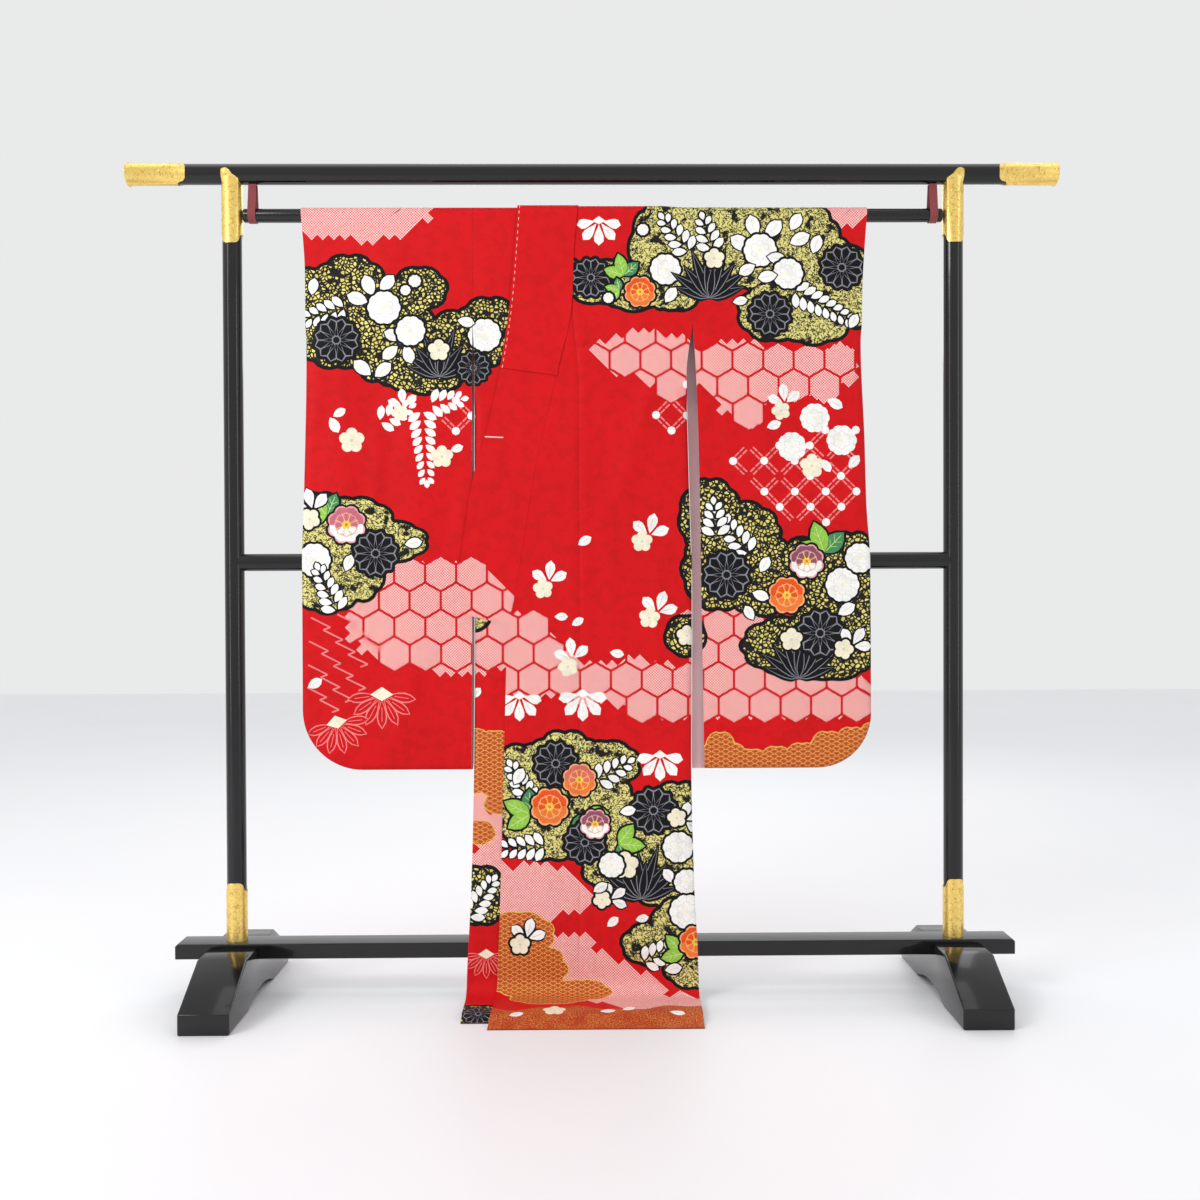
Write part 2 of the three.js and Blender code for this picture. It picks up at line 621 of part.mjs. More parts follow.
/** Distance from a point of a body panel to its side seam. */
const toSide = (piece, x, s) => (
  piece === 'left' ? edge('leftSide')(s) - x : x - edge('rightSide')(s)
);

function frontPoint(piece, x, s) {
  const lift = piece === 'left' ? leftLift(x, s) : 0;
  const fold = piece === 'left' ? ridge(FOLDS, x, s) : 0;
  const point = drape('front', x, s, lift, fold * hanging(s));
  if (s > bendStart + (BEND.front * Math.PI) / 2) {
    return settled(point, BEND.z - BEND.front + lift, FRONT_HEM_FALL[piece]);
  }
  const shut = closed(point.clone(), 'front', toSide(piece, x, s));
  return point.lerp(shut, sewnAt(s));
}

function backPoint(piece, x, s, tuck = 0) {
  const left = piece === 'left';
  const behindRight = LAYER * ease(ARC, NECK.drop + NECK.slope, s) * ease(BEHIND.from, BEHIND.to, x);
  const lift = (left ? leftLift(x, s) : -behindRight) - tuck;
  const point = drape('back', x, s, lift, hanging(s) * backFold(x, s));
  const shut = closed(point.clone(), 'back', toSide(piece, x, s));
  return point.lerp(shut, sewnAt(s));
}

/** Positions across a panel, finer at a sewn side edge. */
function across(from, to, count, sewn) {
  const list = [];
  for (let i = 0; i <= count; i += 1) list.push(from + ((to - from) * i) / count);
  const way = Math.sign(to - from);
  if (sewn === 'last') list.splice(count, 0, to - way * CLOSING, to - way * NEAR_SEAM);
  if (sewn === 'first') list.splice(1, 0, from + way * NEAR_SEAM, from + way * CLOSING);
  return list;
}

function makeBodyFronts() {
  const leftInner = (s) => (s < OKUMI_TIP ? edge('leftNeck')(s) : edge('leftOkumi')(s)) + GAP / 2;
  add('left_body_front', clothWall(stations(HEM.left, 'front').map((s) => (
    across(leftInner(s), edge('leftSide')(s), 5, 'last').map((x) => frontPoint('left', x, s))
  ))), 'crepe');
  const rightInner = (s) => (s < OKUMI_TIP ? edge('rightNeck')(s) : edge('rightOkumi')(s)) - GAP / 2;
  add('right_body_front', clothWall(stations(HEM.right, 'front').map((s) => (
    across(edge('rightSide')(s), rightInner(s), 5, 'first').map((x) => frontPoint('right', x, s))
  ))), 'crepe');
}

function makeOkumi() {
  const rows = (hem) => [OKUMI_TIP + OKUMI_POINT, ...stations(hem, 'front', ARMHOLE)];
  const left = rows(HEM.left).map((s) => {
    const line = across(edge('leftNeck')(s) + GAP / 2, edge('leftOkumi')(s) - GAP / 2, 4);
    return line.map((x) => frontPoint('left', x, s));
  });
  add('left_okumi', clothWall(left), 'crepe');
  const right = rows(HEM.right).map((s) => {
    const line = across(edge('rightOkumi')(s) + GAP / 2, edge('rightNeck')(s) - GAP / 2, 4);
    return line.map((x) => frontPoint('right', x, s));
  });
  add('right_okumi', clothWall(right), 'crepe');
}

function makeBodyBacks() {
  const neck = (side) => (s) => {
    const opened = ease(NECK.drop, NECK.drop + NECK.slope, s);
    const sign = side === 'left' ? 1 : -1;
    const shoulder = edge(`${side}Neck`)(0) + (sign * GAP) / 2;
    return THREE.MathUtils.lerp(shoulder, PLEAT[side], opened);
  };
  const pleatTop = NECK.drop + NECK.slope;
  const list = [...stations(HEM.back, 'back'), NECK.drop, pleatTop].sort((a, b) => a - b);
  const left = list.map((s) => {
    const start = neck('left')(s);
    const line = across(edge('leftSide')(s), start + PLEAT.turn, 5, 'first');
    const points = line.map((x) => backPoint('left', x, s));
    if (s < pleatTop) {
      for (const part of [2 / 3, 1 / 3, 0]) points.push(backPoint('left', start + part * PLEAT.turn, s));
      return points;
    }
    const widened = ease(pleatTop, pleatTop + NECK.slope, s);
    const inner = THREE.MathUtils.lerp(start + 2 * PLEAT.turn, PLEAT.seam, widened);
    points.push(backPoint('left', start, s, LAYER / 2));
    points.push(backPoint('left', start + PLEAT.turn, s, LAYER));
    points.push(backPoint('left', inner, s, LAYER));
    return points;
  });
  add('left_body_back', clothWall(left), 'crepe');
  const right = list.map((s) => (
    across(edge('rightSide')(s), neck('right')(s), 5, 'first').map((x) => backPoint('right', x, s))
  ));
  add('right_body_back', clothWall(right), 'crepe');
}

/** A strip of collar from its tail behind the neck, over the rod and down the front. */
function collarStrip(down, lift, edges, end, slant, folds) {
  const tail = [-1, -0.5].map((k) => k * COLLAR_TAIL - ARC);
  const overRod = [-1, -0.75, -0.5, -0.25, 0].map((k) => k * ARC);
  return clothWall([...tail, ...overRod, ...down, end].map((s) => [0, 1 / 3, 2 / 3, 1].map((part) => {
    const here = s === end ? s + slant * (2 * part - 1) : s;
    const at = Math.max(here, 0);
    const x = THREE.MathUtils.lerp(edges[0](at), edges[1](at), part);
    if (here < 0) return drape('back', x, -here, lift);
    return drape('front', x, here, lift, ridge(folds, x, here));
  })));
}

function makeCollars() {
  const full = [...arcStations.slice(1), ...collarStations];
  const short = full.filter((s) => s < OVER_COLLAR_END);
  const leftSeam = (s) => edge('leftNeck')(s) - GAP / 2;
  const rightSeam = (s) => edge('rightNeck')(s) + GAP / 2;
  const rightFold = (s) => edge('rightNeck')(s) + RIGHT_COLLAR_WIDTH;
  const overFold = (s) => edge('leftCollar')(s) - OVER_COLLAR_LIP;
  const left = [edge('leftCollar'), leftSeam];
  add('left_collar', collarStrip(full, LAYER, left, COLLAR_END, COLLAR_SLANT, FOLDS), 'crepe');
  const right = [rightSeam, rightFold];
  add('right_collar', collarStrip(full, 0, right, COLLAR_END, -COLLAR_SLANT, []), 'crepe');
  const over = [overFold, leftSeam];
  const overLift = LAYER + WALL + GAP;
  const overCollar = collarStrip(short, overLift, over, OVER_COLLAR_END, OVER_COLLAR_SLANT, FOLDS);
  add('over_collar', overCollar, 'crepe');
}

/** Distance from a point of a sleeve to its sewn outline. */
function toOutline(out, x, s, outer, corner) {
  const side = (outer - x) * out;
  const below = SLEEVE_BOTTOM - s;
  if (side < corner && below < corner) return corner - Math.hypot(corner - side, corner - below);
  return Math.min(side, below);
}

function makeSleeves() {
  const sleeves = [
    { name: 'right', out: -1, furi: 'rightFuri', cuff: 'rightCuff', corner: 116 },
    { name: 'left', out: 1, furi: 'leftFuri', cuff: 'leftCuff', corner: 106 },
  ];
  for (const sleeve of sleeves) {
    const outer = edge(sleeve.cuff);
    const inner = edge(sleeve.furi);
    const wide = Math.abs(outer(SLEEVE_BOTTOM) - inner(SLEEVE_BOTTOM));
    const start = 1 - sleeve.corner / wide;
    const turns = [24, 46, 62, 75, 90].map((a) => Math.sin(THREE.MathUtils.degToRad(a)));
    const flat = [0, 1 / 3, 2 / 3, 1].map((part) => part * start);
    const shares = [...flat, ...turns.map((t) => start + (1 - start) * t)];
    for (const side of ['front', 'back']) {
      const columns = shares.map((share) => {
        const beyond = Math.max((share - start) / (1 - start), 0);
        const bottom = SLEEVE_BOTTOM - sleeve.corner * (1 - Math.sqrt(1 - Math.min(beyond, 1) ** 2));
        const rows = [...arcStations, 60, 130, CUFF];
        const steps = 8;
        for (let k = 1; k <= steps; k += 1) rows.push(CUFF + ((bottom - CLOSING - CUFF) * k) / steps);
        rows.push(bottom - NEAR_SEAM, bottom);
        return rows.map((s) => {
          const x = THREE.MathUtils.lerp(inner(s), outer(s), share);
          const fold = side === 'front' ? ridge(FOLDS, x, s) : backFold(x, s);
          const point = drape(side, x, s, 0, fold);
          const distance = toOutline(sleeve.out, x, s, outer(s), sleeve.corner);
          const shut = closed(point.clone(), side, distance);
          return point.lerp(shut, ease(CUFF, CUFF + SEW_IN, s));
        });
      });
      const grid = columns[0].map((_, j) => columns.map((column) => column[j]));
      add(`${sleeve.name}_sleeve_${side}`, clothWall(grid), 'crepe');
    }
  }
}

makeRails();
makePosts();
makeFeet();
makeCaps();
makePostFittings();
makeRodAndStraps();
makeBodyFronts();
makeOkumi();
makeBodyBacks();
makeCollars();
makeSleeves();

export default group;
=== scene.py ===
import json
import logging
import math
from collections.abc import Callable, Iterable, Sequence
from dataclasses import dataclass
from enum import Enum, IntEnum

import bmesh
import bpy
import numpy as np
from mathutils import Matrix, Vector
from mathutils.bvhtree import BVHTree
from mathutils.geometry import delaunay_2d_cdt

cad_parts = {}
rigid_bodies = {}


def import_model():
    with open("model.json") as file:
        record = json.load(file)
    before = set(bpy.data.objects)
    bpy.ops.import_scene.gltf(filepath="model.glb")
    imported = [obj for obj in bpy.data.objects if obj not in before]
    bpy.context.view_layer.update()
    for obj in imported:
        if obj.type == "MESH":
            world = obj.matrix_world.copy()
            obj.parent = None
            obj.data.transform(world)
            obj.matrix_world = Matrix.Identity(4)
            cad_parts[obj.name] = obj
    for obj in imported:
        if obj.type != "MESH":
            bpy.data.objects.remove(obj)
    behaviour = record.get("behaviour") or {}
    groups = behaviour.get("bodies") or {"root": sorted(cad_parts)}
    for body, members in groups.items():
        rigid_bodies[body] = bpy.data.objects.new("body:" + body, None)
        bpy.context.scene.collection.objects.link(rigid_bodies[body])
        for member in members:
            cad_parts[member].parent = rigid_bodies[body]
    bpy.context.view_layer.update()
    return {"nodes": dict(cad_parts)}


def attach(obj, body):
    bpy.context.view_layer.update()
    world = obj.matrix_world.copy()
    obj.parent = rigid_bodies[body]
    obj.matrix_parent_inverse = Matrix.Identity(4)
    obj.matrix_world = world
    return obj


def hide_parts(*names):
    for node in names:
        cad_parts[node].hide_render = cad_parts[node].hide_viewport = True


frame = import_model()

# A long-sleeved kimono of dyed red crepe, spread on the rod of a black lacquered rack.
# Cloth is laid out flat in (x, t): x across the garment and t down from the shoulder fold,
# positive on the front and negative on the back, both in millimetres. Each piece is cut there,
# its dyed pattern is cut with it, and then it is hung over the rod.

log = logging.getLogger("kimono")

Array = np.ndarray
Colour = tuple[float, float, float]
Curve = Callable[[Array], Array]
Hanger = Callable[[Array, Array], Array]
MM = 0.001


# ---- Plain helpers --------------------------------------------------------------------------------
def linear(red: float, green: float, blue: float) -> Colour:
    """Turns a display colour of 0 to 255 into the light it stands for."""
    parts = [c / 255 for c in (red, green, blue)]
    return tuple(c / 12.92 if c <= 0.04045 else ((c + 0.055) / 1.055) ** 2.4 for c in parts)


def ease(start: float, end: float, at: Array) -> Array:
    """Rises softly from 0 to 1."""
    share = np.clip((at - start) / (end - start), 0, 1)
    return share * share * (3 - 2 * share)


class Line:
    """A smooth curve through knots that never swings past them."""

    def __init__(self, *knots: tuple[float, float]) -> None:
        """Takes the knots.

        Args:
            knots: Pairs of position and value, in rising order of position.
        """
        table = np.array(knots, float)
        self.at, self.value = table[:, 0], table[:, 1]
        chord = np.diff(self.value) / np.diff(self.at)
        slope = np.zeros(len(table))
        slope[0], slope[-1] = chord[0], chord[-1]
        before, after = chord[:-1], chord[1:]
        same = before * after > 0
        total = np.where(same, before + after, 1)
        slope[1:-1] = np.where(same, 2 * before * after / total, 0)
        self.slope = slope

    def __call__(self, at: Array) -> Array:
        """Reads the curve.

        Args:
            at: Positions.

        Returns:
            The value at each position, held constant past the ends.
        """
        at = np.clip(np.asarray(at, float), self.at[0], self.at[-1])
        k = np.clip(np.searchsorted(self.at, at, side="right") - 1, 0, len(self.at) - 2)
        width = self.at[k + 1] - self.at[k]
        u = (at - self.at[k]) / width
        start, end = self.value[k], self.value[k + 1]
        pull = u * (1 - u) ** 2 * self.slope[k] - u * u * (1 - u) * self.slope[k + 1]
        return start + (end - start) * u * u * (3 - 2 * u) + width * pull


# ---- How the cloth hangs --------------------------------------------------------------------------
def add_object(name: str, data: bpy.types.ID) -> bpy.types.Object:
    """Puts a new object into the scene.

    Args:
        name: Its name.
        data: Its mesh, light or camera.

    Returns:
        The object.
    """
    made = bpy.data.objects.new(name, data)
    bpy.context.scene.collection.objects.link(made)
    return made


class Side(IntEnum):
    """The two sides of the garment, as signs along +Y."""

    FRONT = -1
    BACK = 1


class Half(Enum):
    """The two halves of the garment, named for the wearer."""

    LEFT = "left"
    RIGHT = "right"


WALL = 1.4  # silk with its lining
LAYER = 2.8  # from one layer to the next
GAP = 0.3
WRAP = 14.6  # radius of the cloth's middle over the rod
ARC = WRAP * math.pi / 2
ROD_Z = 1537.0
BEND_Z, BEND_Y = 45.9, -76.0
BEND = {Side.FRONT: 36.0, Side.BACK: 42.0}
BEND_START = ARC + ROD_Z - BEND_Z
FLOOR_Z = 1.1
RAIL_Z, RAIL_CLEAR = 856.0, 120.0
CUFF, ARMHOLE, SLEEVE_BOTTOM = 232.0, 234.0, 1109.0
SIDE_OPENING_END, SEW_IN = 372.0, 42.0
CLOSING = 14.0  # two layers run together over this width at a sewn edge
SEAM_HALF = 0.72
OKUMI_TIP = 199.0
COLLAR_END, OVER_COLLAR_END = 815.0, 334.0
COLLAR_TAIL = 20.0
PLEAT_FOLD, PLEAT_SEAM, PLEAT_TURN = -71.5, -23.0, 3.0
NECK_DROP, PLEAT_TOP, PLEAT_FULL = 45.0, 77.0, 109.0
RIGHT_BACK_NECK = 25.0
HEM = {Half.LEFT: 1701.0, Half.RIGHT: 1667.0}
BACK_HEM = 1644.0
HEM_FALL = {Half.LEFT: (150, 205), Half.RIGHT: (142, 170)}

HANG = {
    Side.FRONT: Line((45.9, -40), (110, -40), (450, -39.5), (856, -38), (1300, -22), (1537, -14.6)),
    Side.BACK: Line((45.9, -34), (110, -34), (450, -25), (856, -21.2), (1300, 4), (1537, 14.6)),
}

LEFT_SIDE = Line((0, 192.5), (234, 192.5), (330, 180), (525, 183), (781, 188), (1091, 186),
                 (1336, 191), (1523, 199), (1701, 196))
RIGHT_SIDE = Line((0, -237.2), (234, -237.2), (320, -234), (828, -234), (1107, -237),
                  (1357, -244), (1537, -253), (1701, -252))
LEFT_NECK = Line((0, -30), (104, -39), (199, -43), (342, -74), (514, -114), (675, -140),
                 (787, -160), (832, -170), (1027, -177), (1294, -185), (1461, -191), (1701, -201))
LEFT_COLLAR = Line((0, -148), (200, -164), (324, -183), (463, -214), (514, -231), (709, -263),
                   (804, -276), (834, -279))
LEFT_OKUMI = Line((0, -43), (199, -43), (354, -31), (900, -31), (1560, -35), (1701, -37))
RIGHT_NECK = Line((0, -26), (199, -10), (342, 22), (514, 62), (675, 88), (787, 108),
                  (1027, 120), (1701, 132))
RIGHT_OKUMI = Line((0, -18), (199, -10), (1701, -14))
LEFT_CUFF = Line((0, 538), (200, 525), (288, 524), (462, 529), (588, 531), (711, 538), (1109, 539))
LEFT_FURI = Line((0, 192.8), (234, 192.8), (320, 198), (525, 204), (781, 207), (1109, 212))
RIGHT_CUFF = Line((0, -574), (148, -564), (335, -563), (559, -566), (708, -570), (1109, -570))
RIGHT_FURI = Line((0, -237.5), (234, -237.5), (320, -238.5), (850, -239.5), (1109, -242))


@dataclass(frozen=True)
class Crease:
    """A soft fold along a straight path, in flat cloth."""

    x0: float
    s0: float
    x1: float
    s1: float
    width: float
    depth: float


FRONT_FOLDS = (
    Crease(124, 330, 50, 575, 22, 4), Crease(60, 1180, 96, 1690, 34, 5),
    Crease(-90, 1240, -112, 1690, 30, 4), Crease(300, 240, 372, 1060, 46, 5),
    Crease(470, 200, 452, 980, 36, 4), Crease(-330, 210, -372, 1040, 46, 5),
    Crease(-500, 260, -470, 1000, 38, 4),
)
BACK_FOLDS = (
    Crease(-160, 300, -140, 1500, 40, 4), Crease(110, 260, 124, 1500, 44, 4),
    Crease(330, 240, 360, 1040, 46, 4), Crease(-400, 240, -380, 1040, 46, 4),
)
# Small creases that only the dressed cloth has: short, shallow and uneven.
FINE_CREASES = (
    Crease(150, 250, 176, 420, 9, 1.3), Crease(96, 214, 60, 300, 11, 1.1),
    Crease(20, 640, 44, 900, 14, 1.2), Crease(126, 700, 118, 1010, 12, 1.3),
    Crease(-12, 980, 6, 1330, 15, 1.4), Crease(150, 1110, 158, 1420, 13, 1.2),
    Crease(-150, 1010, -140, 1280, 12, 1.1), Crease(-60, 1390, -46, 1500, 14, 1.3),
    Crease(226, 250, 262, 470, 12, 1.5), Crease(250, 560, 246, 900, 15, 1.2),
    Crease(330, 60, 352, 250, 18, 1.2), Crease(420, 560, 410, 830, 14, 1.4),
    Crease(500, 300, 508, 620, 13, 1.2), Crease(392, 900, 352, 1060, 16, 1.5),
    Crease(-268, 250, -292, 430, 12, 1.5), Crease(-262, 600, -268, 930, 14, 1.2),
    Crease(-420, 420, -436, 760, 16, 1.4), Crease(-530, 180, -540, 420, 13, 1.2),
    Crease(-400, 80, -428, 260, 18, 1.1), Crease(-520, 700, -500, 980, 14, 1.3),
    Crease(-330, 860, -390, 1050, 15, 1.4), Crease(-219, 1120, -226, 1440, 8, 1.0),
)


def ridge(creases: Sequence[Crease], x: Array, s: Array) -> Array:
    """Adds up the height of the folds above the flat cloth.

    Args:
        creases: The folds.
        x: Positions across.
        s: Positions down.

    Returns:
        The height in millimetres.
    """
    height = np.zeros(np.broadcast(x, s).shape)
    for fold in creases:
        dx, ds = fold.x1 - fold.x0, fold.s1 - fold.s0
        along = ((x - fold.x0) * dx + (s - fold.s0) * ds) / (dx * dx + ds * ds)
        along = np.clip(along, 0, 1)
        away = np.hypot(x - fold.x0 - along * dx, s - fold.s0 - along * ds) / fold.width
        height = height + fold.depth * np.exp(-away * away)
    return height


def ripple(x: Array, s: Array) -> Array:
    """Gives the slight unevenness that every layer shares.

    Args:
        x: Positions across.
        s: Positions down.

    Returns:
        A height of up to about 0.8 mm either way.
    """
    broad = 0.42 * np.sin(x / 31 + s / 210) * np.sin(s / 97 - x / 160)
    fine = 0.26 * np.sin(x / 13 - s / 61 + 1.3 * np.sin(s / 140))
    return broad + fine + 0.18 * np.sin(x / 7.3 + s / 33)


def hanging(s: Array) -> Array:
    """Says how much of a fold is left above the floor."""
    return 1 - ease(BEND_START - 60, BEND_START, s)


def drape(side: Side, x: Array, s: Array, lift: Array, fold: Array) -> Array:
    """Hangs points of cloth over the rod and down to the floor.

    Args:
        side: Front or back.
        x: Positions across.
        s: Cloth from the shoulder fold.
        lift: How far the layer stands out from the lowest one.
        fold: Height of the folds there.

    Returns:
        Points as rows of x, y, z in millimetres.
    """
    out = float(side)
    turn = np.minimum(s / WRAP, math.pi / 2)
    rod_y, rod_z = out * (WRAP + lift) * np.sin(turn), ROD_Z + (WRAP + lift) * np.cos(turn)
    z = ROD_Z - (s - ARC)
    hang_y = HANG[side](z) + out * (lift + fold * ease(ARC, ARC + 120, s))
    radius = BEND[side] + out * lift
    bend = np.clip((s - BEND_START) / BEND[side], 0, math.pi / 2)
    floor = np.maximum(s - BEND_START - BEND[side] * math.pi / 2, 0)
    low_y, low_z = BEND_Y + radius * np.cos(bend) - floor, BEND_Z - radius * np.sin(bend)
    over, hung = s <= ARC, s <= BEND_START
    y = np.where(over, rod_y, np.where(hung, hang_y, low_y))
    z = np.where(over, rod_z, np.where(hung, z, low_z))
    return np.stack([x + 0 * y, y, z], axis=-1)


def close_edge(point: Array, side: Side, distance: Array, share: Array) -> Array:
    """Brings a layer to the middle between front and back at a sewn edge.

    Args:
        point: Points of the layer, moved in place.
        side: Front or back.
        distance: How far each point is from the sewn edge.
        share: How much of the closing applies.

    Returns:
        The moved points.
    """
    near = np.clip(distance / CLOSING, 0, 1)
    opened = np.sqrt(1 - (1 - near) ** 2)
    middle = (HANG[Side.FRONT](point[:, 2]) + HANG[Side.BACK](point[:, 2])) / 2
    seam = middle + float(side) * SEAM_HALF
    shut = seam + (point[:, 1] - seam) * opened
    point[:, 1] += (shut - point[:, 1]) * share
    return point


def left_lift(x: Array, s: Array) -> Array:
    """Gives the height of the left half's cloth, which sinks to the sleeve at the armhole."""
    return LAYER * (1 - ease(130, 185, x) * (1 - ease(ARMHOLE, 330, s)))


def sewn_at(s: Array) -> Array:
    """Says how far a body's side seam has closed."""
    closing = ease(SIDE_OPENING_END - SEW_IN / 3, SIDE_OPENING_END + SEW_IN, s)
    return closing * (1 - ease(BEND_START - 150, BEND_START, s))


def pucker(distance: Array) -> Array:
    """Sinks the cloth at a seam, between two soft swells.

    Args:
        distance: How far each point is from the seam.

    Returns:
        The depth at each point, negative on the swells.
    """
    dip = 1.15 * np.exp(-((distance / 3.6) ** 2))
    swell = np.exp(-(((np.abs(distance) - 11) / 7) ** 2))
    return dip - 1.2 * swell


@dataclass(frozen=True)
class BodyHang:
    """Hangs one half's body and okumi."""

    half: Half

    def to_side(self, x: Array, s: Array) -> Array:
        """Measures to the side seam."""
        return LEFT_SIDE(s) - x if self.half is Half.LEFT else x - RIGHT_SIDE(s)

    def front(self, x: Array, s: Array) -> Array:
        """Places points of the front.

        Args:
            x: Positions across.
            s: Positions down.

        Returns:
            The points.
        """
        left = self.half is Half.LEFT
        lift = left_lift(x, s) if left else np.zeros(len(x))
        seam = (LEFT_OKUMI if left else RIGHT_OKUMI)(s)
        lift = lift - pucker(x - seam) * ease(OKUMI_TIP - 20, OKUMI_TIP + 30, s) * hanging(s)
        fold = ripple(x, s)
        if left:
            fold = fold + ridge(FRONT_FOLDS, x, s) + 1.7 * ridge(FINE_CREASES, x, s)
        point = drape(Side.FRONT, x, s, lift, fold * hanging(s))
        point = close_edge(point, Side.FRONT, self.to_side(x, s), sewn_at(s))
        start, end = HEM_FALL[self.half]
        lying = s > BEND_START + BEND[Side.FRONT] * math.pi / 2
        down = ease(start, end, -point[:, 1]) * (BEND_Z - BEND[Side.FRONT] + lift - FLOOR_Z)
        point[:, 2] -= np.where(lying, down, 0)
        return point

    def back(self, x: Array, s: Array, tuck: Array) -> Array:
        """Places points of the back.

        Args:
            x: Positions across.
            s: Positions down.
            tuck: How deep the point lies under the pleat.

        Returns:
            The points.
        """
        if self.half is Half.LEFT:
            lift = left_lift(x, s)
        else:
            lift = -LAYER * ease(ARC, PLEAT_TOP, s) * ease(-237, -180, x)
        fold = ripple(x, s) + back_fold(x, s)
        point = drape(Side.BACK, x, s, lift - tuck, fold * hanging(s))
        return close_edge(point, Side.BACK, self.to_side(x, s), sewn_at(s))

    def hang(self, w: Array, t: Array) -> Array:
        """Places points of the whole length, front and back.

        Args:
            w: Positions across the flat cloth, the left back's pleat unfolded.
            t: Cloth from the shoulder fold, negative at the back.

        Returns:
            The points.
        """
        s = np.abs(t)
        point = self.front(w, s)
        x, tuck = w, np.zeros(len(w))
        if self.half is Half.LEFT:
            x, tuck = fold_pleat(w, s)
        behind = self.back(x, s, tuck)
        point[t < 0] = behind[t < 0]
        return point


def fold_pleat(w: Array, s: Array) -> tuple[Array, Array]:
    """Turns the spare width of the left back under, at the middle of the back.

    Args:
        w: Positions across the flat cloth.
        s: Positions down.

    Returns:
        Positions across once folded, and how deep they lie under the top layer.
    """
    start = PLEAT_FOLD + PLEAT_TURN
    angle = np.clip((start - w) / (2 * PLEAT_TURN), 0, 1) * math.pi
    flat = np.where(w < PLEAT_FOLD - PLEAT_TURN, 2 * PLEAT_FOLD - w, w)
    x = np.where((w < start) & (w > PLEAT_FOLD - PLEAT_TURN), start - PLEAT_TURN * np.sin(angle), flat)
    folded = ease(PLEAT_TOP - 11, PLEAT_TOP, s)
    return w + (x - w) * folded, LAYER * (1 - np.cos(angle)) / 2 * folded


def back_fold(x: Array, s: Array) -> Array:
    """Gives the back's folds, flat around the middle rail.

    Args:
        x: Positions across.
        s: Positions down.

    Returns:
        The height of the folds.
    """
    from_rail = (s - ARC - ROD_Z + RAIL_Z) / RAIL_CLEAR
    flat = 1 - np.exp(-(from_rail ** 2))
    return -0.5 * (ridge(BACK_FOLDS, x, s) + 0.8 * ridge(FINE_CREASES, x, s)) * flat


@dataclass(frozen=True)
class CollarHang:
    """Hangs a strip of the collar."""

    lift: float
    folded: bool

    def hang(self, x: Array, t: Array) -> Array:
        """Places points of the strip.

        Args:
            x: Positions across.
            t: Cloth from the shoulder fold, negative behind the neck.

        Returns:
            The points.
        """
        s = np.abs(t)
        fold = ripple(x, s)
        if self.folded:
            fold = fold + ridge(FRONT_FOLDS, x, s) + 1.7 * ridge(FINE_CREASES, x, s)
        lift = np.full(len(x), self.lift)
        point = drape(Side.FRONT, x, s, lift, fold)
        behind = drape(Side.BACK, x, s, lift, 0 * fold)
        point[t < 0] = behind[t < 0]
        return point


@dataclass(frozen=True)
class SleeveHang:
    """Hangs a sleeve and closes its bag."""

    out: int
    outer: Line
    corner: float

    def to_outline(self, x: Array, s: Array) -> Array:
        """Measures to the sewn outline, round its corner.

        Args:
            x: Positions across.
            s: Positions down.

        Returns:
            The distance inside the outline.
        """
        side = (self.outer(s) - x) * self.out
        below = SLEEVE_BOTTOM - s
        rounded = self.corner - np.hypot(self.corner - side, self.corner - below)
        in_corner = (side < self.corner) & (below < self.corner)
        return np.where(in_corner, rounded, np.minimum(side, below))

    def hang(self, x: Array, t: Array) -> Array:
        """Places points of the sleeve.

        Args:
            x: Positions across.
            t: Cloth from the shoulder fold, negative at the back.

        Returns:
            The points.
        """
        s = np.abs(t)
        zero = np.zeros(len(x))
        fold = ripple(x, s) + ridge(FRONT_FOLDS, x, s) + 1.7 * ridge(FINE_CREASES, x, s)
        front = drape(Side.FRONT, x, s, zero, fold)
        back = drape(Side.BACK, x, s, zero, ripple(x, s) + back_fold(x, s))
        away, share = self.to_outline(x, s), ease(CUFF, CUFF + SEW_IN, s)
        front = close_edge(front, Side.FRONT, away, share)
        back = close_edge(back, Side.BACK, away, share)
        front[t < 0] = back[t < 0]
        return front


# ---- Dyes and finishes of the cloth ---------------------------------------------------------------
class Cloth(IntEnum):
    """Material slots of a piece of cloth."""

    CREPE = 0
    SCALES = 1
    FLAKES = 2
    DUST = 3
    KANOKO = 4
    WAVES = 5
    LINING = 6


def dye(red: float, green: float, blue: float, cloth: Cloth = Cloth.CREPE) -> tuple[Colour, Cloth]:
    """Pairs a colour with the finish that carries it."""
    return linear(red, green, blue), cloth


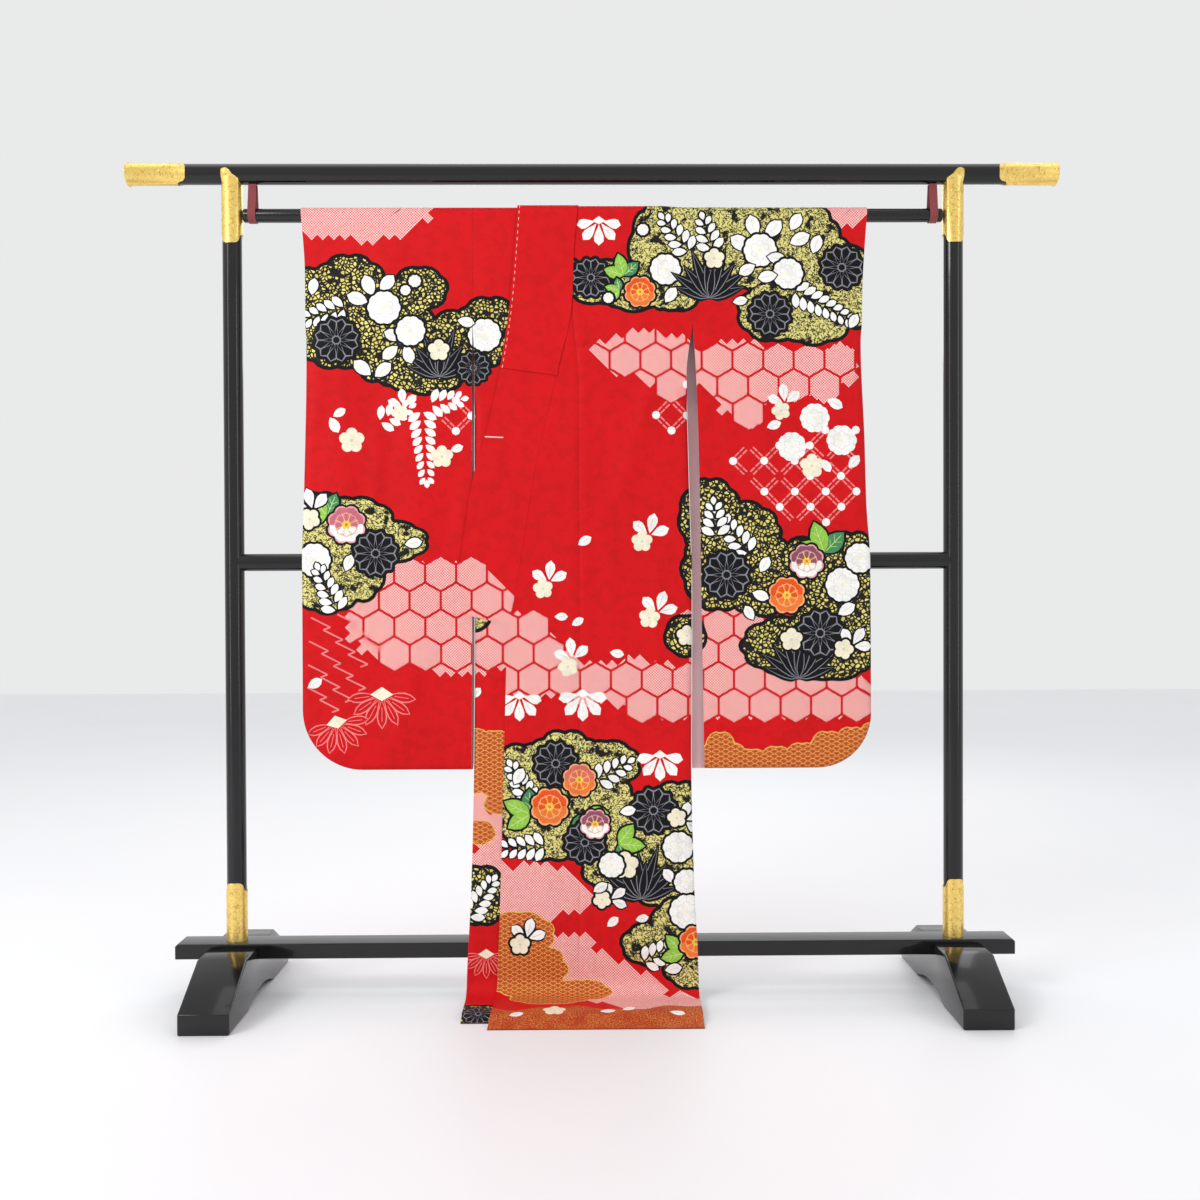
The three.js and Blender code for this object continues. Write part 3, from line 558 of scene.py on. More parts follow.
class Dye(Enum):
    """A colour on the cloth and the finish that carries it."""

    RED = dye(214, 10, 18)
    # A darker red for the cut edges of the cloth, which stands for painted shade along the edges and in the
    # seams.
    RIM_SHADE_RED = dye(120, 10, 16)
    BLACK = dye(14, 14, 17)
    GREY = dye(138, 138, 148)
    WHITE = dye(252, 251, 247)
    CREAM = dye(222, 216, 198)
    IVORY = dye(250, 242, 214)
    YELLOW = dye(246, 208, 84)
    ORANGE = dye(238, 86, 32)
    AMBER = dye(244, 124, 58)
    CORAL = dye(226, 112, 100)
    PEACH = dye(250, 178, 120)
    PINK = dye(236, 168, 172)
    ROSE = dye(206, 112, 130)
    MAUVE = dye(148, 84, 108)
    LEAF = dye(150, 204, 76)
    DEEP_LEAF = dye(74, 142, 92)
    PALE_LEAF = dye(208, 232, 150)
    OUTLINE_PINK = dye(240, 138, 136)
    SCALES = dye(200, 190, 110, Cloth.SCALES)
    FLAKES = dye(200, 190, 110, Cloth.FLAKES)
    DUST = dye(200, 170, 90, Cloth.DUST)
    KANOKO = dye(240, 170, 165, Cloth.KANOKO)
    WAVES = dye(205, 112, 45, Cloth.WAVES)
    WAVE_RIM = dye(236, 196, 92)
    LINING = dye(236, 226, 212, Cloth.LINING)


# ---- Drawing the pattern --------------------------------------------------------------------------
@dataclass(frozen=True)
class Patch:
    """One flat shape of dye."""

    outline: Array
    dye: Dye


def turned(points: Array, turn: float) -> Array:
    """Turns points clockwise as seen on the cloth."""
    c, k = math.cos(math.radians(turn)), math.sin(math.radians(turn))
    return points @ np.array([[c, k], [-k, c]])


def petal(length: float, width: float, turn: float, start: float = 0.0,
          peak: float = 0.5, blunt: float = 0.75, steps: int = 5) -> Array:
    """Outlines a petal or leaf that grows out from the middle.

    Args:
        length: Its length.
        width: Its width.
        turn: Its direction, in degrees clockwise from upwards.
        start: How far from the middle it begins.
        peak: Where it is widest, as a share of the length.
        blunt: Below 1 for round ends, above 1 for sharp ones.
        steps: Points along each side.

    Returns:
        The outline.
    """
    u = np.linspace(0, 1, steps + 1)
    half = width / 2 * np.abs(np.sin(math.pi * u ** (math.log(0.5) / math.log(peak)))) ** blunt
    along = -(start + u * length)
    right = np.stack([half[1:-1], along[1:-1]], 1)
    left = np.stack([-half[1:-1], along[1:-1]], 1)[::-1]
    ends = np.array([[0, along[0]]]), np.array([[0, along[-1]]])
    return turned(np.concatenate([ends[0], right, ends[1], left]), turn)


def lobed(across: float, down: float, lobes: int, depth: float, grow: float = 0.0,
          steps: int = 5) -> Array:
    """Outlines a round shape with scallops.

    Args:
        across: Half its width.
        down: Half its height.
        lobes: How many scallops.
        depth: How deep the notches are, as a share of the radius.
        grow: Extra size all round.
        steps: Points to a scallop.

    Returns:
        The outline.
    """
    angle = np.arange(lobes * steps) * 2 * math.pi / (lobes * steps)
    radius = 1 - depth * (1 - np.abs(np.sin(lobes * angle / 2)) ** 0.8)
    return np.stack([(across + grow) * radius * np.sin(angle),
                     -(down + grow) * radius * np.cos(angle)], 1)


def signed_area(outline: Array) -> float:
    """Measures an outline's area, positive when it runs counter-clockwise."""
    x, y = outline.T
    return float(np.sum(x * np.roll(y, -1) - y * np.roll(x, -1))) / 2


def disc(radius: float, sides: int = 14) -> Array:
    """Outlines a disc."""
    angle = np.arange(sides) * 2 * math.pi / sides
    return radius * np.stack([np.sin(angle), -np.cos(angle)], 1)


def stroke(points: Sequence[tuple[float, float]], width: float) -> Array:
    """Outlines a line of even width.

    Args:
        points: The path.
        width: Its width.

    Returns:
        The outline.
    """
    path = np.array(points, float)
    step = np.diff(path, axis=0)
    step /= np.linalg.norm(step, axis=1)[:, None]
    side = np.stack([step[:, 1], -step[:, 0]], 1)
    mitre = np.concatenate([side[:1], side[:-1] + side[1:], side[-1:]])
    mitre /= np.maximum(np.linalg.norm(mitre, axis=1)[:, None], 1e-9)
    away = mitre * width / 2
    return np.concatenate([path + away, (path - away)[::-1]])


class Drawing:
    """Patches of dye, each over the ones before it."""

    def __init__(self) -> None:
        """Starts empty."""
        self.patches: list[Patch] = []

    def lay(self, outline: Array, dye: Dye, at: tuple[float, float] = (0, 0)) -> None:
        """Adds a patch."""
        self.patches.append(Patch(np.asarray(outline, float) + np.array(at, float), dye))

    def place(self, other: "Drawing", x: float, s: float, turn: float = 0.0) -> None:
        """Adds another drawing."""
        for patch in other.patches:
            self.lay(turned(patch.outline, turn), patch.dye, (x, s))


EDGING = 4.6  # the black resist line round a motif on foil
ON_FOIL = 1.12  # motifs on foil are drawn this much larger


class Sketch(Drawing):
    """One motif's drawing, round the origin."""

    def __init__(self, size: float, edged: bool) -> None:
        """Starts empty.

        Args:
            size: The motif's radius or length.
            edged: Whether it lies on foil and has a black edge.
        """
        super().__init__()
        self.size = size
        self.edged = edged

    def vein(self, turn: float, start: float, end: float, width: float, dye: Dye) -> None:
        """Lays a straight line outwards from the middle."""
        self.lay(stroke(turned(np.array([(0, -start), (0, -end)]), turn), width), dye)

    def chrysanthemum(self) -> None:
        """Draws a black flower with fine grey outlines."""
        size = self.size
        self.lay(lobed(size, size, 12, 0.12, EDGING if self.edged else 0, 3), Dye.BLACK)
        for k in range(12):
            self.lay(petal(0.76 * size, 0.43 * size, 30 * k + 15, 0.19 * size, 0.72), Dye.GREY)
            self.lay(petal(0.69 * size, 0.34 * size, 30 * k + 15, 0.22 * size, 0.72, steps=4), Dye.BLACK)
        self.lay(lobed(0.21 * size, 0.21 * size, 8, 0.15, 0, 3), Dye.GREY)
        self.lay(lobed(0.15 * size, 0.15 * size, 8, 0.15, 0, 3), Dye.BLACK)

    def ball(self) -> None:
        """Draws a round white flower head."""
        size = self.size
        if self.edged:
            self.lay(lobed(size, size, 10, 0.08, EDGING + 0.5, 3), Dye.BLACK)
        self.lay(lobed(size, size, 10, 0.07, 0, 3), Dye.WHITE)
        for k in range(10):
            self.vein(36 * k, 0.68 * size, 0.92 * size, 0.9, Dye.CREAM)
        for k in range(6):
            self.lay(petal(0.42 * size, 0.42 * size, 60 * k, 0.2 * size, 0.62, steps=4), Dye.CREAM)
            self.lay(petal(0.38 * size, 0.36 * size, 60 * k, 0.21 * size, 0.62, steps=4), Dye.WHITE)
        self.lay(disc(0.15 * size, 8), Dye.IVORY)

    def blossom(self, upper: Dye, lower: Dye, pale: Dye) -> None:
        """Draws a full flower of two tones with a yellow heart.

        Args:
            upper: Tone of its upper petals.
            lower: Tone of its lower petals.
            pale: Tone of the petals' edges.
        """
        size = self.size
        self.lay(lobed(size, size, 8, 0.13, EDGING, 4), Dye.BLACK)
        self.lay(lobed(size, size, 8, 0.14, 0, 4), pale)
        for ring, (reach, wide, start, shift) in enumerate(((0.62, 0.66, 0.30, 22.5), (0.46, 0.48, 0.12, 0))):
            for k in range(8):
                turn = 45 * k + shift
                tone = upper if math.cos(math.radians(turn)) > -0.1 else lower
                if ring:
                    long, broad = (reach + 0.05) * size, (wide + 0.08) * size
                    self.lay(petal(long, broad, turn, start * size, 0.66), pale)
                self.lay(petal(reach * size, wide * size, turn, start * size, 0.66), tone)
        for k in range(8):
            self.vein(45 * k + 22.5, 0.12 * size, 0.62 * size, 1.3, Dye.YELLOW)
        self.lay(lobed(0.24 * size, 0.24 * size, 6, 0.25, 0, 3), Dye.YELLOW)
        self.lay(disc(0.09 * size, 6), Dye.AMBER)

    def leaves(self) -> None:
        """Draws a fan of three leaves."""
        size = self.size
        parts = ((-62, 1.0, Dye.LEAF), (58, 0.96, Dye.DEEP_LEAF), (-4, 1.1, Dye.LEAF))
        for turn, share, _ in parts:
            if self.edged:
                long, wide = share * size + 2 * EDGING, 0.6 * size + 2 * EDGING
                self.lay(petal(long, wide, turn, -EDGING, 0.5, 0.8), Dye.BLACK)
        for turn, share, dye in parts:
            self.lay(petal(share * size, 0.6 * size, turn, 0, 0.48, 0.85), dye)
            self.vein(turn, 0.1 * size, 0.85 * share * size, 1.3, Dye.PALE_LEAF)
            for k in (0.3, 0.52):
                for way in (-1, 1):
                    rib = np.array([(0, -k * share * size), (way * 0.17 * size, -(k + 0.18) * share * size)])
                    self.lay(stroke(turned(rib, turn), 0.9), Dye.PALE_LEAF)

    def spray(self) -> None:
        """Draws a hanging spray of paired petals."""
        size = self.size
        pairs = max(round(size / 17), 4)
        rows: list[tuple[float, float, float, float, float]] = []
        for k in range(pairs):
            share = k / pairs
            down = -size * (0.95 * share + 0.02)
            rows.extend((way, down, 29 - 14 * share, 15 - 5.5 * share, 58 - 20 * share) for way in (-1, 1))
        if self.edged:
            for way, s, long, wide, turn in rows:
                self.lay(petal(long + 7, wide + 7, way * turn, -2), Dye.BLACK, (way * 1.5, s))
            self.lay(petal(24, 18, 0, size * 0.86, 0.55), Dye.BLACK)
        for way, s, long, wide, turn in rows:
            self.lay(petal(long, wide, way * turn, 2.2, 0.56, 0.6), Dye.WHITE, (way * 1.2, s))
        self.lay(petal(17, 11, 0, size * 0.9, 0.55), Dye.WHITE)

    def iris(self) -> None:
        """Draws a fan of long black blades with grey edges."""
        size = self.size
        blades = ((-72, 0.74), (-56, 0.92), (-38, 0.84), (-20, 1.06), (72, 0.76), (54, 0.96), (36, 0.86),
                  (18, 1.1), (-4, 0.94), (7, 0.74))
        if self.edged:
            for turn, share in blades:
                self.lay(petal(share * size + 8, 0.2 * size + 7, turn, -3, 0.36, 0.9), Dye.BLACK)
        for turn, share in blades:
            self.lay(petal(share * size, 0.2 * size, turn, 0, 0.36, 1.0), Dye.BLACK)
            self.lay(petal(share * size * 0.97, 0.16 * size, turn, 0, 0.36, 1.0), Dye.GREY)
            self.lay(petal(share * size * 0.93, 0.125 * size, turn, 0.02 * size, 0.36, 1.0), Dye.BLACK)

    def plum(self) -> None:
        """Draws a five-petalled white flower."""
        size = self.size
        middles = [tuple(turned(np.array([0, -0.55 * size]), 72 * k)) for k in range(5)]
        if self.edged:
            for at in middles:
                self.lay(disc(0.46 * size + EDGING, 10), Dye.BLACK, at)
        for at in middles:
            self.lay(disc(0.46 * size, 12), Dye.CREAM, at)
            self.lay(disc(0.43 * size, 12), Dye.IVORY, at)
        self.lay(disc(0.34 * size, 10), Dye.IVORY)
        self.lay(disc(0.13 * size, 8), Dye.CREAM)

    def trio(self) -> None:
        """Draws a small white flower with three leaves beside it."""
        size = self.size
        for turn, long in ((-48, 0.9), (14, 1.0), (70, 0.92)):
            if self.edged:
                self.lay(petal(long * size + 6, 0.56 * size + 5, turn, 0.02 * size, 0.6, 0.7), Dye.BLACK)
            self.lay(petal(long * size, 0.52 * size, turn, 0.12 * size, 0.62, 0.7), Dye.WHITE)
            self.vein(turn, 0.3 * size, 0.86 * long * size, 1.2, Dye.CREAM)
        flower = Sketch(0.52 * size, self.edged)
        flower.plum()
        self.place(flower, -0.34 * size, 0.28 * size)

    def parasol(self) -> None:
        """Draws a hanging half flower of five white petals."""
        size = self.size
        for k, turn in enumerate((102, 141, 180, 219, 258)):
            long = size * (0.84 if k in (0, 4) else 0.96)
            if self.edged:
                self.lay(petal(long + 6, 0.42 * size + 6, turn, 0.1 * size, 0.66, 0.7), Dye.BLACK)
            self.lay(petal(long, 0.45 * size, turn, 0.16 * size, 0.68, 0.66), Dye.WHITE)
            self.vein(turn, 0.5 * size, 0.8 * long, 1.0, Dye.CREAM)
        self.lay(np.array([(-0.3, 0.02), (0, -0.2), (0.3, 0.02), (0, 0.16)]) * size, Dye.WHITE)

    def outlined_parasol(self) -> None:
        """Draws the same hanging flower in pink outline."""
        size = self.size
        for turn in (98, 125, 152, 180, 208, 235, 262):
            self.lay(petal(0.95 * size, 0.33 * size, turn, 0.14 * size, 0.6, 0.8), Dye.OUTLINE_PINK)
            self.lay(petal(0.87 * size, 0.25 * size, turn, 0.18 * size, 0.6, 0.8), Dye.RED)
            self.vein(turn, 0.4 * size, 0.86 * size, 1.3, Dye.OUTLINE_PINK)
        self.lay(np.array([(-0.36, 0), (0, -0.24), (0.36, 0), (0, 0.2)]) * size, Dye.IVORY)

    def single_petal(self) -> None:
        """Draws one loose petal."""
        size = self.size
        if self.edged:
            self.lay(petal(size + 6, 0.6 * size + 6, 0, -size / 2 - 3, 0.55, 0.6), Dye.BLACK)
        self.lay(petal(size, 0.6 * size, 0, -size / 2, 0.55, 0.6), Dye.WHITE)
        self.lay(stroke([(0, 0.2 * size), (0, -0.3 * size)], 1.1), Dye.CREAM)


class Motif(Enum):
    """The motifs, each with the method that draws it and its tones."""

    MUM = (Sketch.chrysanthemum,)
    BALL = (Sketch.ball,)
    ORANGE = (Sketch.blossom, Dye.ORANGE, Dye.AMBER, Dye.PEACH)
    CORAL = (Sketch.blossom, Dye.CORAL, Dye.AMBER, Dye.PEACH)
    ROSE = (Sketch.blossom, Dye.ROSE, Dye.WHITE, Dye.PINK)
    MAUVE = (Sketch.blossom, Dye.MAUVE, Dye.WHITE, Dye.PINK)
    LEAVES = (Sketch.leaves,)
    SPRAY = (Sketch.spray,)
    IRIS = (Sketch.iris,)
    PLUM = (Sketch.plum,)
    TRIO = (Sketch.trio,)
    PARASOL = (Sketch.parasol,)
    OUTLINED = (Sketch.outlined_parasol,)
    PETAL = (Sketch.single_petal,)


@dataclass(frozen=True)
class Spot:
    """One motif and where it goes."""

    motif: Motif
    x: float
    s: float
    size: float
    turn: float = 0.0


@dataclass(frozen=True)
class Puff:
    """An oval part of a cloud or of a shaded field."""

    x: float
    s: float
    across: float
    down: float

    def share(self, x: Array, s: Array) -> Array:
        """Measures how far out points are."""
        return np.hypot((x - self.x) / self.across, (s - self.s) / self.down)


def spots(*rows: tuple[Motif | float, ...]) -> tuple[Spot, ...]:
    """Reads a table of motifs."""
    return tuple(Spot(*row) for row in rows)


def set_motifs(art: Drawing, places: Sequence[Spot], on_foil: bool) -> None:
    """Draws motifs at their places.

    Args:
        art: The drawing that they go into.
        places: The motifs and their places.
        on_foil: Whether they lie on foil, larger and with a black edge.
    """
    for spot in places:
        make, *tones = spot.motif.value
        sketch = Sketch(spot.size * (ON_FOIL if on_foil else 1), on_foil)
        make(sketch, *tones)
        art.place(sketch, spot.x, spot.s, spot.turn)


def puffs(*rows: tuple[float, float, float, float]) -> tuple[Puff, ...]:
    """Reads a table of ovals."""
    return tuple(Puff(*row) for row in rows)


CLOUD_EDGE = 7.0
LOBE = 46.0  # length of one scallop of a cloud's edge


@dataclass(frozen=True)
class Cloud:
    """A foil cloud with a black edge, and what lies on it."""

    foil: Dye
    parts: tuple[Puff, ...]
    spots: tuple[Spot, ...] = ()

    def draw(self, art: Drawing) -> None:
        """Draws the cloud.

        Args:
            art: The drawing that it goes into.
        """
        rim = Dye.WAVE_RIM if self.foil is Dye.WAVES else Dye.BLACK
        grow = 1.6 if self.foil is Dye.WAVES else CLOUD_EDGE
        for dye, depth, more in ((rim, 0.07, grow), (self.foil, 0.09, 0)):
            for part in self.parts:
                lobes = max(round(math.pi * (part.across + part.down) / LOBE), 5)
                art.lay(lobed(part.across, part.down, lobes, depth, more, 4), dye, (part.x, part.s))
        set_motifs(art, self.spots, True)


CELL = 2.7  # half the diagonal of one tied dot
HEXAGON = 60.0  # width of a kikko hexagon
HEX_LINE = 4.6


def hexagon_of(x: Array, s: Array) -> tuple[Array, Array]:
    """Finds the hexagon that holds each point.

    Args:
        x: Positions across.
        s: Positions down.

    Returns:
        The middles of the hexagons.
    """
    step = 1.5 * HEXAGON / math.sqrt(3)
    best = np.full(x.shape, np.inf)
    mid_x, mid_s = np.zeros(x.shape), np.zeros(x.shape)
    for shift in (-1, 0, 1):
        row = np.round(s / step) + shift
        column = np.round(x / HEXAGON - 0.5 * (row % 2))
        at_x, at_s = (column + 0.5 * (row % 2)) * HEXAGON, row * step
        far = np.hypot(x - at_x, s - at_s)
        near = far < best
        best = np.where(near, far, best)
        mid_x, mid_s = np.where(near, at_x, mid_x), np.where(near, at_s, mid_s)
    return mid_x, mid_s


@dataclass(frozen=True)
class Field:
    """An area of tied dots, plain or in hexagons, that ends on whole dots."""

    parts: tuple[Puff, ...]
    hexagons: bool = False

    def draw(self, art: Drawing) -> None:
        """Draws the field.

        Args:
            art: The drawing that it goes into.
        """
        x0 = min(p.x - p.across for p in self.parts)
        x1 = max(p.x + p.across for p in self.parts)
        s0 = min(p.s - p.down for p in self.parts)
        s1 = max(p.s + p.down for p in self.parts)
        corners = [(x / CELL + s / CELL, s / CELL - x / CELL) for x in (x0, x1) for s in (s0, s1)]
        i0, i1 = (int(f(c[0] for c in corners) / 2) + g for f, g in ((min, -2), (max, 2)))
        j0, j1 = (int(f(c[1] for c in corners) / 2) + g for f, g in ((min, -2), (max, 2)))
        i, j = np.meshgrid(np.arange(i0, i1), np.arange(j0, j1), indexing="ij")
        x, s = CELL * (i - j), CELL * (i + j + 1)
        block_i, block_j = 4 * (i // 4) + 1.5, 4 * (j // 4) + 1.5
        block_x, block_s = CELL * (block_i - block_j), CELL * (block_i + block_j + 1)
        wobble = 1 + 0.12 * np.sin(block_x / 11.0 + block_s / 23.0) * np.cos(block_s / 13.0)
        inside = self.nearest(block_x, block_s) < wobble
        if self.hexagons:
            whole = self.nearest(*hexagon_of(x, s)) < 0.88
            inside = whole | (inside & (self.nearest(block_x, block_s) < 0.95))
        for loop in trace(inside):
            at = np.array(loop, float)
            across, along = at[:, 0] + i0, at[:, 1] + j0
            outline = CELL * np.stack([across - along, across + along], 1)
            area = 2 * signed_area(outline)
            art.lay(outline, Dye.KANOKO if area > 0 else Dye.RED)
        if self.hexagons:
            self.draw_hexagons(art, (x0, x1, s0, s1))

    def nearest(self, x: Array, s: Array) -> Array:
        """Measures how far out points are of the nearest oval."""
        return np.min([p.share(x, s) for p in self.parts], axis=0)

    def draw_hexagons(self, art: Drawing, box: tuple[float, float, float, float]) -> None:
        """Draws the plain lines between the hexagons.

        Args:
            art: The drawing that they go into.
            box: The field's left, right, top and bottom.
        """
        x0, x1, s0, s1 = box
        side = HEXAGON / math.sqrt(3)
        for row in range(int(s0 / (1.5 * side)) - 1, int(s1 / (1.5 * side)) + 2):
            for column in range(int(x0 / HEXAGON) - 1, int(x1 / HEXAGON) + 2):
                x, s = (column + 0.5 * (row % 2)) * HEXAGON, row * 1.5 * side
                top, right = (x, s - side), (x + HEXAGON / 2, s - side / 2)
                low, left = (x + HEXAGON / 2, s + side / 2), (x - HEXAGON / 2, s - side / 2)
                for a, b in ((left, top), (top, right), (right, low)):
                    middle = np.array([(a[0] + b[0]) / 2]), np.array([(a[1] + b[1]) / 2])
                    if min(float(p.share(*middle)[0]) for p in self.parts) < 1.3:
                        art.lay(stroke([a, b], HEX_LINE), Dye.RED)


def trace(inside: Array) -> list[list[tuple[int, int]]]:
    """Follows the edges of a set of cells.

    Args:
        inside: Which cells belong to the set.

    Returns:
        Closed loops of cell corners, counter-clockwise round the set.
    """
    grid = np.pad(inside, 1)
    onward: dict[tuple[int, int], list[tuple[int, int]]] = {}
    for i, j in zip(*np.nonzero(grid)):
        a = (int(i) - 1, int(j) - 1)
        if not grid[i, j - 1]:
            onward.setdefault((a[0], a[1]), []).append((a[0] + 1, a[1]))
        if not grid[i + 1, j]:
            onward.setdefault((a[0] + 1, a[1]), []).append((a[0] + 1, a[1] + 1))
        if not grid[i, j + 1]:
            onward.setdefault((a[0] + 1, a[1] + 1), []).append((a[0], a[1] + 1))
        if not grid[i - 1, j]:
            onward.setdefault((a[0], a[1] + 1), []).append((a[0], a[1]))
    loops = []
    while onward:
        first = here = next(iter(onward))
        loop = []
        while True:
            loop.append(here)
            following = onward[here].pop()
            if not onward[here]:
                del onward[here]
            here = following
            if here == first:
                break
        corners = [
            p for k, p in enumerate(loop)
            if (p[0] - loop[k - 1][0], p[1] - loop[k - 1][1])
            != (loop[(k + 1) % len(loop)][0] - p[0], loop[(k + 1) % len(loop)][1] - p[1])
        ]
        loops.append(corners)
    return loops


@dataclass(frozen=True)
class Fence:
    """A slanting lattice of double lines with a white round on each crossing."""

    parts: tuple[Puff, ...]
    pitch: float = 60.0

    def draw(self, art: Drawing) -> None:
        """Draws the lattice.

        Args:
            art: The drawing that it goes into.
        """
        half = self.pitch / 2
        knots = []
        for a in range(-30, 50):
            for b in range(-50, 60):
                x, s = (a - b) * half, (a + b) * half
                if not self.holds(x, s):
                    continue
                knots.append((x, s))
                for dx in (-half, half):
                    if self.holds(x + dx, s + half):
                        self.draw_rail(art, (x, s), (x + dx, s + half))
        for k, (x, s) in enumerate(knots):
            if k % 4 != 1:
                art.lay(disc(8.2, 8), Dye.WHITE, (x, s))

    def holds(self, x: float, s: float) -> bool:
        """Says whether a crossing lies inside."""
        at = np.array([x]), np.array([s])
        return min(float(p.share(*at)[0]) for p in self.parts) < 1

    @staticmethod
    def draw_rail(art: Drawing, a: tuple[float, float], b: tuple[float, float]) -> None:
        """Draws one stretch of double line, broken as stitches are.

        Args:
            art: The drawing that it goes into.
            a: One end.
            b: The other end.
        """
        start, end = np.array(a), np.array(b)
        way = (end - start) / np.linalg.norm(end - start)
        side = np.array([way[1], -way[0]])
        for shift in (-3.8, 3.8):
            for first, last in ((0.2, 0.47), (0.53, 0.8)):
                p = start + (end - start) * first + side * shift
                q = start + (end - start) * last + side * shift
                art.lay(stroke([tuple(p), tuple(q)], 3.0), Dye.OUTLINE_PINK)


@dataclass(frozen=True)
class Bark:
    """Nested zigzag lines that step down to one side."""

    starts: tuple[tuple[float, float, int], ...]

    def draw(self, art: Drawing) -> None:
        """Draws the lines.

        Args:
            art: The drawing that they go into.
        """
        for x, s, turns in self.starts:
            path = [(x, s)]
            for _ in range(turns):
                path += [(path[-1][0] + 38, path[-1][1] + 19), (path[-1][0] + 24, path[-1][1] + 24)]
            for a, b in zip(path, path[1:]):
                art.lay(stroke([a, b], 3.0), Dye.OUTLINE_PINK)


@dataclass(frozen=True)
class HemBand:
    """The gold-dusted band along the hem, with a wavy top."""

    x0: float
    x1: float
    top: float
    bottom: float

    def draw(self, art: Drawing) -> None:
        """Draws the band.

        Args:
            art: The drawing that it goes into.
        """
        x = np.linspace(self.x0, self.x1, 40)
        s = self.top + 9 * np.sin(x / 34) + 5 * np.sin(x / 13 + 1)
        upper = np.stack([x, s], 1)
        lower = np.array([[self.x1, self.bottom], [self.x0, self.bottom]])
        art.lay(np.concatenate([upper, lower]), Dye.DUST)


@dataclass(frozen=True)
class Loose:
    """Motifs straight on the red ground."""

    spots: tuple[Spot, ...]

    def draw(self, art: Drawing) -> None:
        """Draws the motifs."""
        set_motifs(art, self.spots, False)


M = Motif
RIGHT_PRINT = (
    Field(puffs((-520, 20, 75, 50), (-440, 25, 95, 55), (-360, 20, 40, 30))),
    Field(puffs((-300, 782, 150, 84), (-398, 818, 92, 80), (-262, 852, 140, 78)), True),
    Fence(puffs((-272, 415, 52, 60))),
    Bark(((-552, 812, 4), (-556, 858, 4), (-558, 904, 3), (-500, 806, 3), (-560, 948, 2))),
    Cloud(Dye.SCALES, puffs(
        (-545, 200, 60, 70), (-478, 172, 74, 66), (-500, 260, 80, 66), (-400, 262, 90, 96),
        (-342, 172, 54, 42), (-330, 310, 100, 66), (-262, 275, 80, 60), (-205, 255, 70, 66)), spots(
        (M.SPRAY, -486, 208, 92, -106), (M.PETAL, -548, 166, 30, 10),
        (M.IRIS, -302, 344, 80), (M.PLUM, -303, 292, 19), (M.MUM, -502, 272, 41),
        (M.PETAL, -392, 262, 34, -70), (M.PETAL, -398, 296, 34, -130),
        (M.PETAL, -362, 300, 34, 160), (M.BALL, -358, 254, 26),
        (M.PETAL, -462, 190, 38, -70), (M.PETAL, -440, 164, 38, -22),
        (M.PETAL, -404, 160, 36, 40), (M.BALL, -410, 208, 29), (M.BALL, -350, 156, 11),
        (M.PETAL, -452, 326, 38, -50), (M.PETAL, -412, 330, 36, 50), (M.BALL, -368, 174, 9),
        (M.BALL, -214, 262, 29), (M.PETAL, -250, 236, 30, 100), (M.MUM, -236, 326, 30))),
    Cloud(Dye.FLAKES, puffs(
        (-535, 640, 60, 70), (-470, 640, 85, 60), (-400, 665, 75, 38), (-520, 740, 70, 62),
        (-460, 720, 50, 60)), spots(
        (M.LEAVES, -520, 615, 44, -35), (M.ROSE, -482, 632, 34),
        (M.MUM, -426, 688, 41), (M.BALL, -545, 700, 29), (M.SPRAY, -500, 800, 86, -24),
        (M.TRIO, -548, 604, 36, -30), (M.PETAL, -352, 668, 30, 80),
        (M.PETAL, -478, 706, 30, 20))),
    Loose(spots(
        (M.SPRAY, -336, 410, 150, 176), (M.SPRAY, -418, 432, 70, 64),
        (M.SPRAY, -318, 398, 64, 80), (M.TRIO, -372, 402, 32, -20),
        (M.PLUM, -472, 468, 25), (M.PETAL, -506, 438, 34, 150), (M.PETAL, -496, 414, 28, 60),
        (M.PLUM, -297, 500, 22), (M.PETAL, -268, 484, 26, 70), (M.PETAL, -545, 940, 32, 60),
        (M.OUTLINED, -415, 962, 62), (M.OUTLINED, -503, 1016, 58, -14))),
)
UNDER_PRINT = (
    Field(puffs((-236, 1190, 30, 56), (-196, 1240, 44, 60), (-230, 1290, 40, 22))),
    Cloud(Dye.FLAKES, puffs((-232, 812, 24, 24))),
    Cloud(Dye.WAVES, puffs((-240, 1068, 44, 40), (-196, 1070, 40, 38), (-236, 1120, 44, 36),
                           (-196, 1128, 44, 36), (-192, 1176, 26, 20), (-226, 1232, 30, 24))),
    Cloud(Dye.SCALES, puffs((-225, 1355, 55, 56)), spots((M.SPRAY, -250, 1398, 84, 34))),
    Loose(spots((M.OUTLINED, -215, 1470, 44), (M.PETAL, -232, 960, 26, 40))),
    Cloud(Dye.SCALES, puffs((-225, 1655, 60, 58)), spots((M.MUM, -222, 1640, 28))),
)
